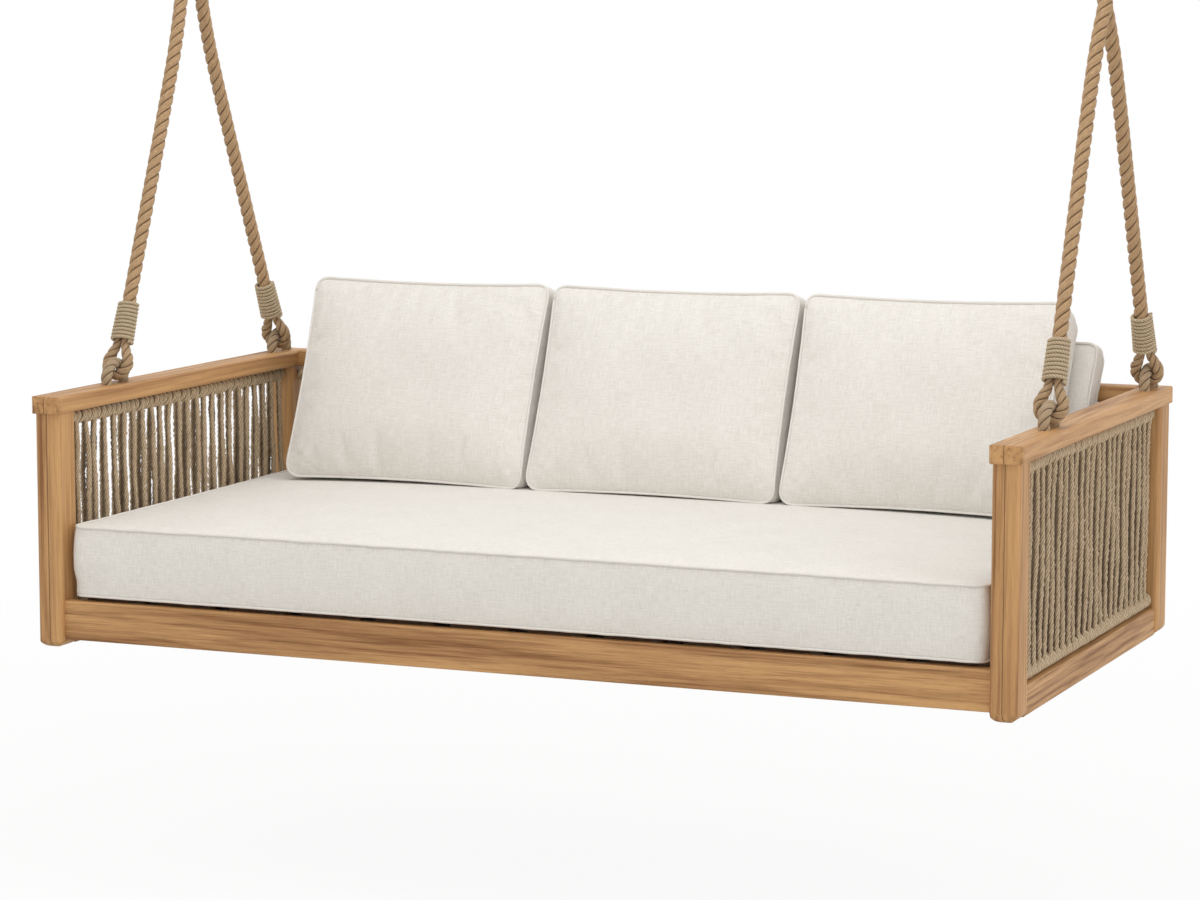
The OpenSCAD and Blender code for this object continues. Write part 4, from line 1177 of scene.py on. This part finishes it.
# %% A rope's material
def rope_finish(name, light, dark, lay, yarns, groove=0.8, fleck=900.0, streak=0.22, relief=0.0012):
    """Rope or cord: lay turns a metre, so many yarns round it, and relief as the height of its hairs."""
    mat, tree, skin = new_finish(name)
    laid = wire(tree, "ShaderNodeGroup", {
        "UV": wire(tree, "ShaderNodeUVMap", uv_map="UVMap").outputs[0],
        "Crown": wire(tree, "ShaderNodeAttribute", attribute_name="crown").outputs["Fac"],
        "Light": colour(light), "Dark": colour(dark), "Lay": lay, "Yarns": yarns, "Fleck": fleck,
        "Groove": groove, "Streak": streak}, node_tree=yarn).outputs
    feed(tree, skin, {"Base Color": laid["Color"], "Roughness": 0.9, "Specular IOR Level": 0.2,
                      "Sheen Weight": 0.15,
                      "Normal": bumped(tree, laid["Height"], strength=0.6, distance=relief)})
    return mat


hemp = rope_finish("hemp_rope", "D3B38D", "8C6843", 6.0, 30)
eye_hemp = rope_finish("eye_rope", "CDB08B", "846648", 8.0, 26)
grey_hemp = rope_finish("grey_hemp_rope", "CBB394", "806A50", 8.0, 26)
whip_cord = rope_finish("pale_whipping_cord", "E0CDAE", "A58E6E", 20.0, 8, relief=0.0005)
lace_cord = rope_finish("grey_brown_cord", "E3CDAD", "866B4D", 9.0, 7, groove=0.82, fleck=1400.0,
                        streak=0.6, relief=0.0014)
lace_bead = rope_finish("grey_brown_wraps", "DDC8A8", "8C7355", 9.0, 7, groove=0.88, fleck=1400.0,
                        streak=0.5)
ROPE_FINISHES = {"sling_rope": hemp, "eye_rope": eye_hemp, "loop_rope": grey_hemp,
                 "whipping_cord": whip_cord, "lashing_cord": whip_cord,
                 "laced_cord": lace_cord, "cord_beads": lace_bead}
for obj in bpy.context.scene.objects:
    for start, mat in ROPE_FINISHES.items():
        if obj.name.startswith(start):
            obj.data.materials.append(mat)
print("6 finishes for", len(ROPE_FINISHES), "kinds of rope and cord")

# %% [markdown]
# ## Linen
# The covers are a plain weave of slubby yarns, off-white with a little grey. Warp and weft
# are two sets of stripes whose thickness and tone wander along each yarn.

# %% Weave group
LINEN_LIGHT, LINEN_DARK = "F0EDE8", "D6D2CB"
SLUB_DRAWN = 0.05                   # how far the slubs are drawn out along their yarn
weave, w_in, w_out = new_group(
    "plain_weave", {"UV": "vector", "Light": colour(LINEN_LIGHT), "Dark": colour(LINEN_DARK),
                    "Threads": 1300.0}, {"Color": "Color", "Height": "Float"})
split = parts_of(weave, w_in["UV"])
waves = []
for axis in (0, 1):
    run = times(weave, split[axis], times(weave, w_in["Threads"], 2 * math.pi))
    waves.append(maths(weave, "SINE", run))
cross = times(weave, *waves)


def slubs(scale):
    """Uneven threads both ways: two noises, each drawn out along one of the yarns."""
    found = []
    for axis in (0, 1):
        squeeze = [times(weave, split[k], 1.0 if k == axis else SLUB_DRAWN) for k in (0, 1)]
        found.append(noise(weave, vector(weave, *squeeze, 3.7 * axis), scale, 2.0, 0.6))
    return minus(weave, plus(weave, *found), 1.0)


thin, thick = slubs(1150.0), slubs(430.0)
soft = noise(weave, w_in["UV"], 9.0)
tone = plus(weave, times(weave, thin, 1.5), scaled(weave, soft, 0.35, 0.45))
tone = plus(weave, tone, plus(weave, times(weave, cross, 0.08), times(weave, thick, 0.75)))
feed(weave, w_out, {"Color": between(weave, clamped(weave, tone), w_in["Dark"], w_in["Light"]),
                    "Height": plus(weave, times(weave, cross, 0.4), plus(weave, thin, thick))})
print("weave group with", len(weave.nodes), "nodes")


# %% Linen material
def linen_finish(name, uv_map, light=LINEN_LIGHT, dark=LINEN_DARK):
    """Woven cloth whose threads follow the named UV map."""
    mat, tree, skin = new_finish(name)
    cloth = wire(tree, "ShaderNodeGroup", {
        "UV": wire(tree, "ShaderNodeUVMap", uv_map=uv_map).outputs[0],
        "Light": colour(light), "Dark": colour(dark)}, node_tree=weave).outputs
    feed(tree, skin, {"Base Color": cloth["Color"], "Roughness": 0.95, "Specular IOR Level": 0.15,
                      "Sheen Weight": 0.15,
                      "Normal": bumped(tree, cloth["Height"], strength=0.3, distance=0.0004)})
    return mat


linen = linen_finish("linen_cover", "weave")
linen_piping = linen_finish("linen_piping", "UVMap")
# painted shade: the webbing's dark colours stand for the shade under the seat
webbing = linen_finish("dark_webbing", "UVMap", "3A322A", "211C17")
for obj in bpy.context.scene.objects:
    if "_piping_" in obj.name:
        obj.data.materials.append(linen_piping)
    elif obj.name.startswith(("seat_cover", "back_cover", "rear_cover")):
        obj.data.materials.append(linen)
    elif obj.name.startswith("webbing"):
        obj.data.materials.append(webbing)
print("linen on the cushions")

# %% [markdown]
# ## Steel
# The ceiling fittings are powder coated black, with a fine orange-peel skin. Pins, rods,
# anchor plates and thimbles are zinc plated, which is paler and unevenly dull.

# %% Steel finishes
COATED = ("ceiling_bracket", "hanger")
PLATED = ("swing_pin", "thimble", "anchor", "lacing_rods")


def steel_finish(name, light, dark, metal, rough, scale, relief):
    """Clouded steel, rough at least by rough, with a skin of bumps of that scale and relief."""
    mat, tree, skin = new_finish(name)
    place = wire(tree, "ShaderNodeTexCoord").outputs["Object"]
    cloud = noise(tree, place, 38.0, 3.0)
    fine = noise(tree, place, scale, 1.0)
    feed(tree, skin, {"Base Color": between(tree, cloud, colour(dark), colour(light)), "Metallic": metal,
                      "Roughness": scaled(tree, cloud, 0.25, rough),
                      "Normal": bumped(tree, fine, strength=0.3, distance=relief)})
    return mat


black = steel_finish("black_powder_coat", "2B2B2E", "1C1C1E", metal=0.0, rough=0.42, scale=900.0,
                     relief=0.0004)
zinc = steel_finish("zinc_plate", "B4B7B9", "7F8386", metal=1.0, rough=0.28, scale=300.0, relief=0.0002)
for starts, mat in ((COATED, black), (PLATED, zinc)):
    for name in nodes:
        if name.startswith(starts):
            finish_node(name, mat)
print("steel on", len([name for name in nodes if name.startswith(COATED + PLATED)]), "pieces")

# %% [markdown]
# ## Floor and light
# The photograph has a white background and soft light from all round, strongest from
# above and from the right. The floor is pale, shows white to the camera and keeps a faint
# shadow, and it fades out where the background takes over.

# %% Floor
FLOOR_R, FLOOR_Z = 5.0, -1.5776 - 0.45
FADE_FROM, FADE_TO = 1.8, 4.0
WHITE = (1, 1, 1, 1)


def mixed(tree, share, a, b):
    """A shader between a and b."""
    return wire(tree, "ShaderNodeMixShader", {0: share, 1: a, 2: b}).outputs[0]


clear_selection()
bpy.ops.mesh.primitive_circle_add(vertices=96, radius=FLOOR_R, fill_type="NGON", location=(0, 0, 0))
floor = bpy.context.active_object
floor.name = "floor"
floor.data.transform(Matrix.Translation((0, BED_Y, FLOOR_Z)))
mat = bpy.data.materials.new("pale_floor")
mat.use_nodes = True
tree = mat.node_tree
tree.nodes.clear()
seen = wire(tree, "ShaderNodeLightPath").outputs["Is Camera Ray"]
plain = wire(tree, "ShaderNodeBsdfDiffuse", {"Color": (0.85, 0.85, 0.85, 1)}).outputs[0]
white = wire(tree, "ShaderNodeEmission", {"Color": WHITE, "Strength": 1.0}).outputs[0]
lit = mixed(tree, times(tree, seen, 0.92), plain, white)
place = wire(tree, "ShaderNodeTexCoord").outputs["Object"]
flat = wire(tree, "ShaderNodeVectorMath", {0: place, 1: (1, 1, 0)}, operation="MULTIPLY").outputs[0]
away = wire(tree, "ShaderNodeVectorMath", {0: flat}, operation="LENGTH").outputs["Value"]
clear = wire(tree, "ShaderNodeBsdfTransparent").outputs[0]
faded = mixed(tree, ramp(tree, away, FADE_FROM, FADE_TO), lit, clear)
wire(tree, "ShaderNodeOutputMaterial", {"Surface": faded})
floor.data.materials.append(mat)
print("floor of", FLOOR_R, "m radius")

# %% World and lamps
ROOM_LIGHT, ROOM_TINT = 0.79, (1, 0.98, 0.945, 1)
world = bpy.data.worlds.new("soft_room")
bpy.context.scene.world = world
world.use_nodes = True
tree = world.node_tree
tree.nodes.clear()
path = wire(tree, "ShaderNodeLightPath").outputs
mirrored = maths(tree, "MAXIMUM", path["Is Glossy Ray"], path["Is Transmission Ray"])
shows = maths(tree, "MAXIMUM", path["Is Camera Ray"], mirrored)
room = wire(tree, "ShaderNodeBackground", {"Color": ROOM_TINT, "Strength": ROOM_LIGHT}).outputs[0]
white = wire(tree, "ShaderNodeBackground", {"Color": WHITE, "Strength": 1.0}).outputs[0]
wire(tree, "ShaderNodeOutputWorld", {"Surface": mixed(tree, shows, room, white)})

LAMP_TINT = (0.985, 0.99, 1)
LAMPS_AIM = Vector((0, 0, -1.3))
LAMPS = {"above": ((0.3, -0.9, 1.6), 3.0, 35), "right": ((4.2, -1.6, -0.2), 2.6, 22),
         "left": ((-3.0, -3.6, 0.6), 2.6, 4), "rear": ((0.2, 3.4, 1.0), 2.4, 3)}
for name, (at, size, power) in LAMPS.items():
    data = bpy.data.lights.new(name, "AREA")
    data.shape, data.size, data.energy, data.color = "DISK", size, power, LAMP_TINT
    aim = (LAMPS_AIM - Vector(at)).to_track_quat("-Z", "Y").to_matrix().to_4x4()
    in_scene(name, data).matrix_world = Matrix.Translation(at) @ aim
bpy.context.scene.view_settings.view_transform = "Standard"
print(len(LAMPS), "soft lamps and a pale world")
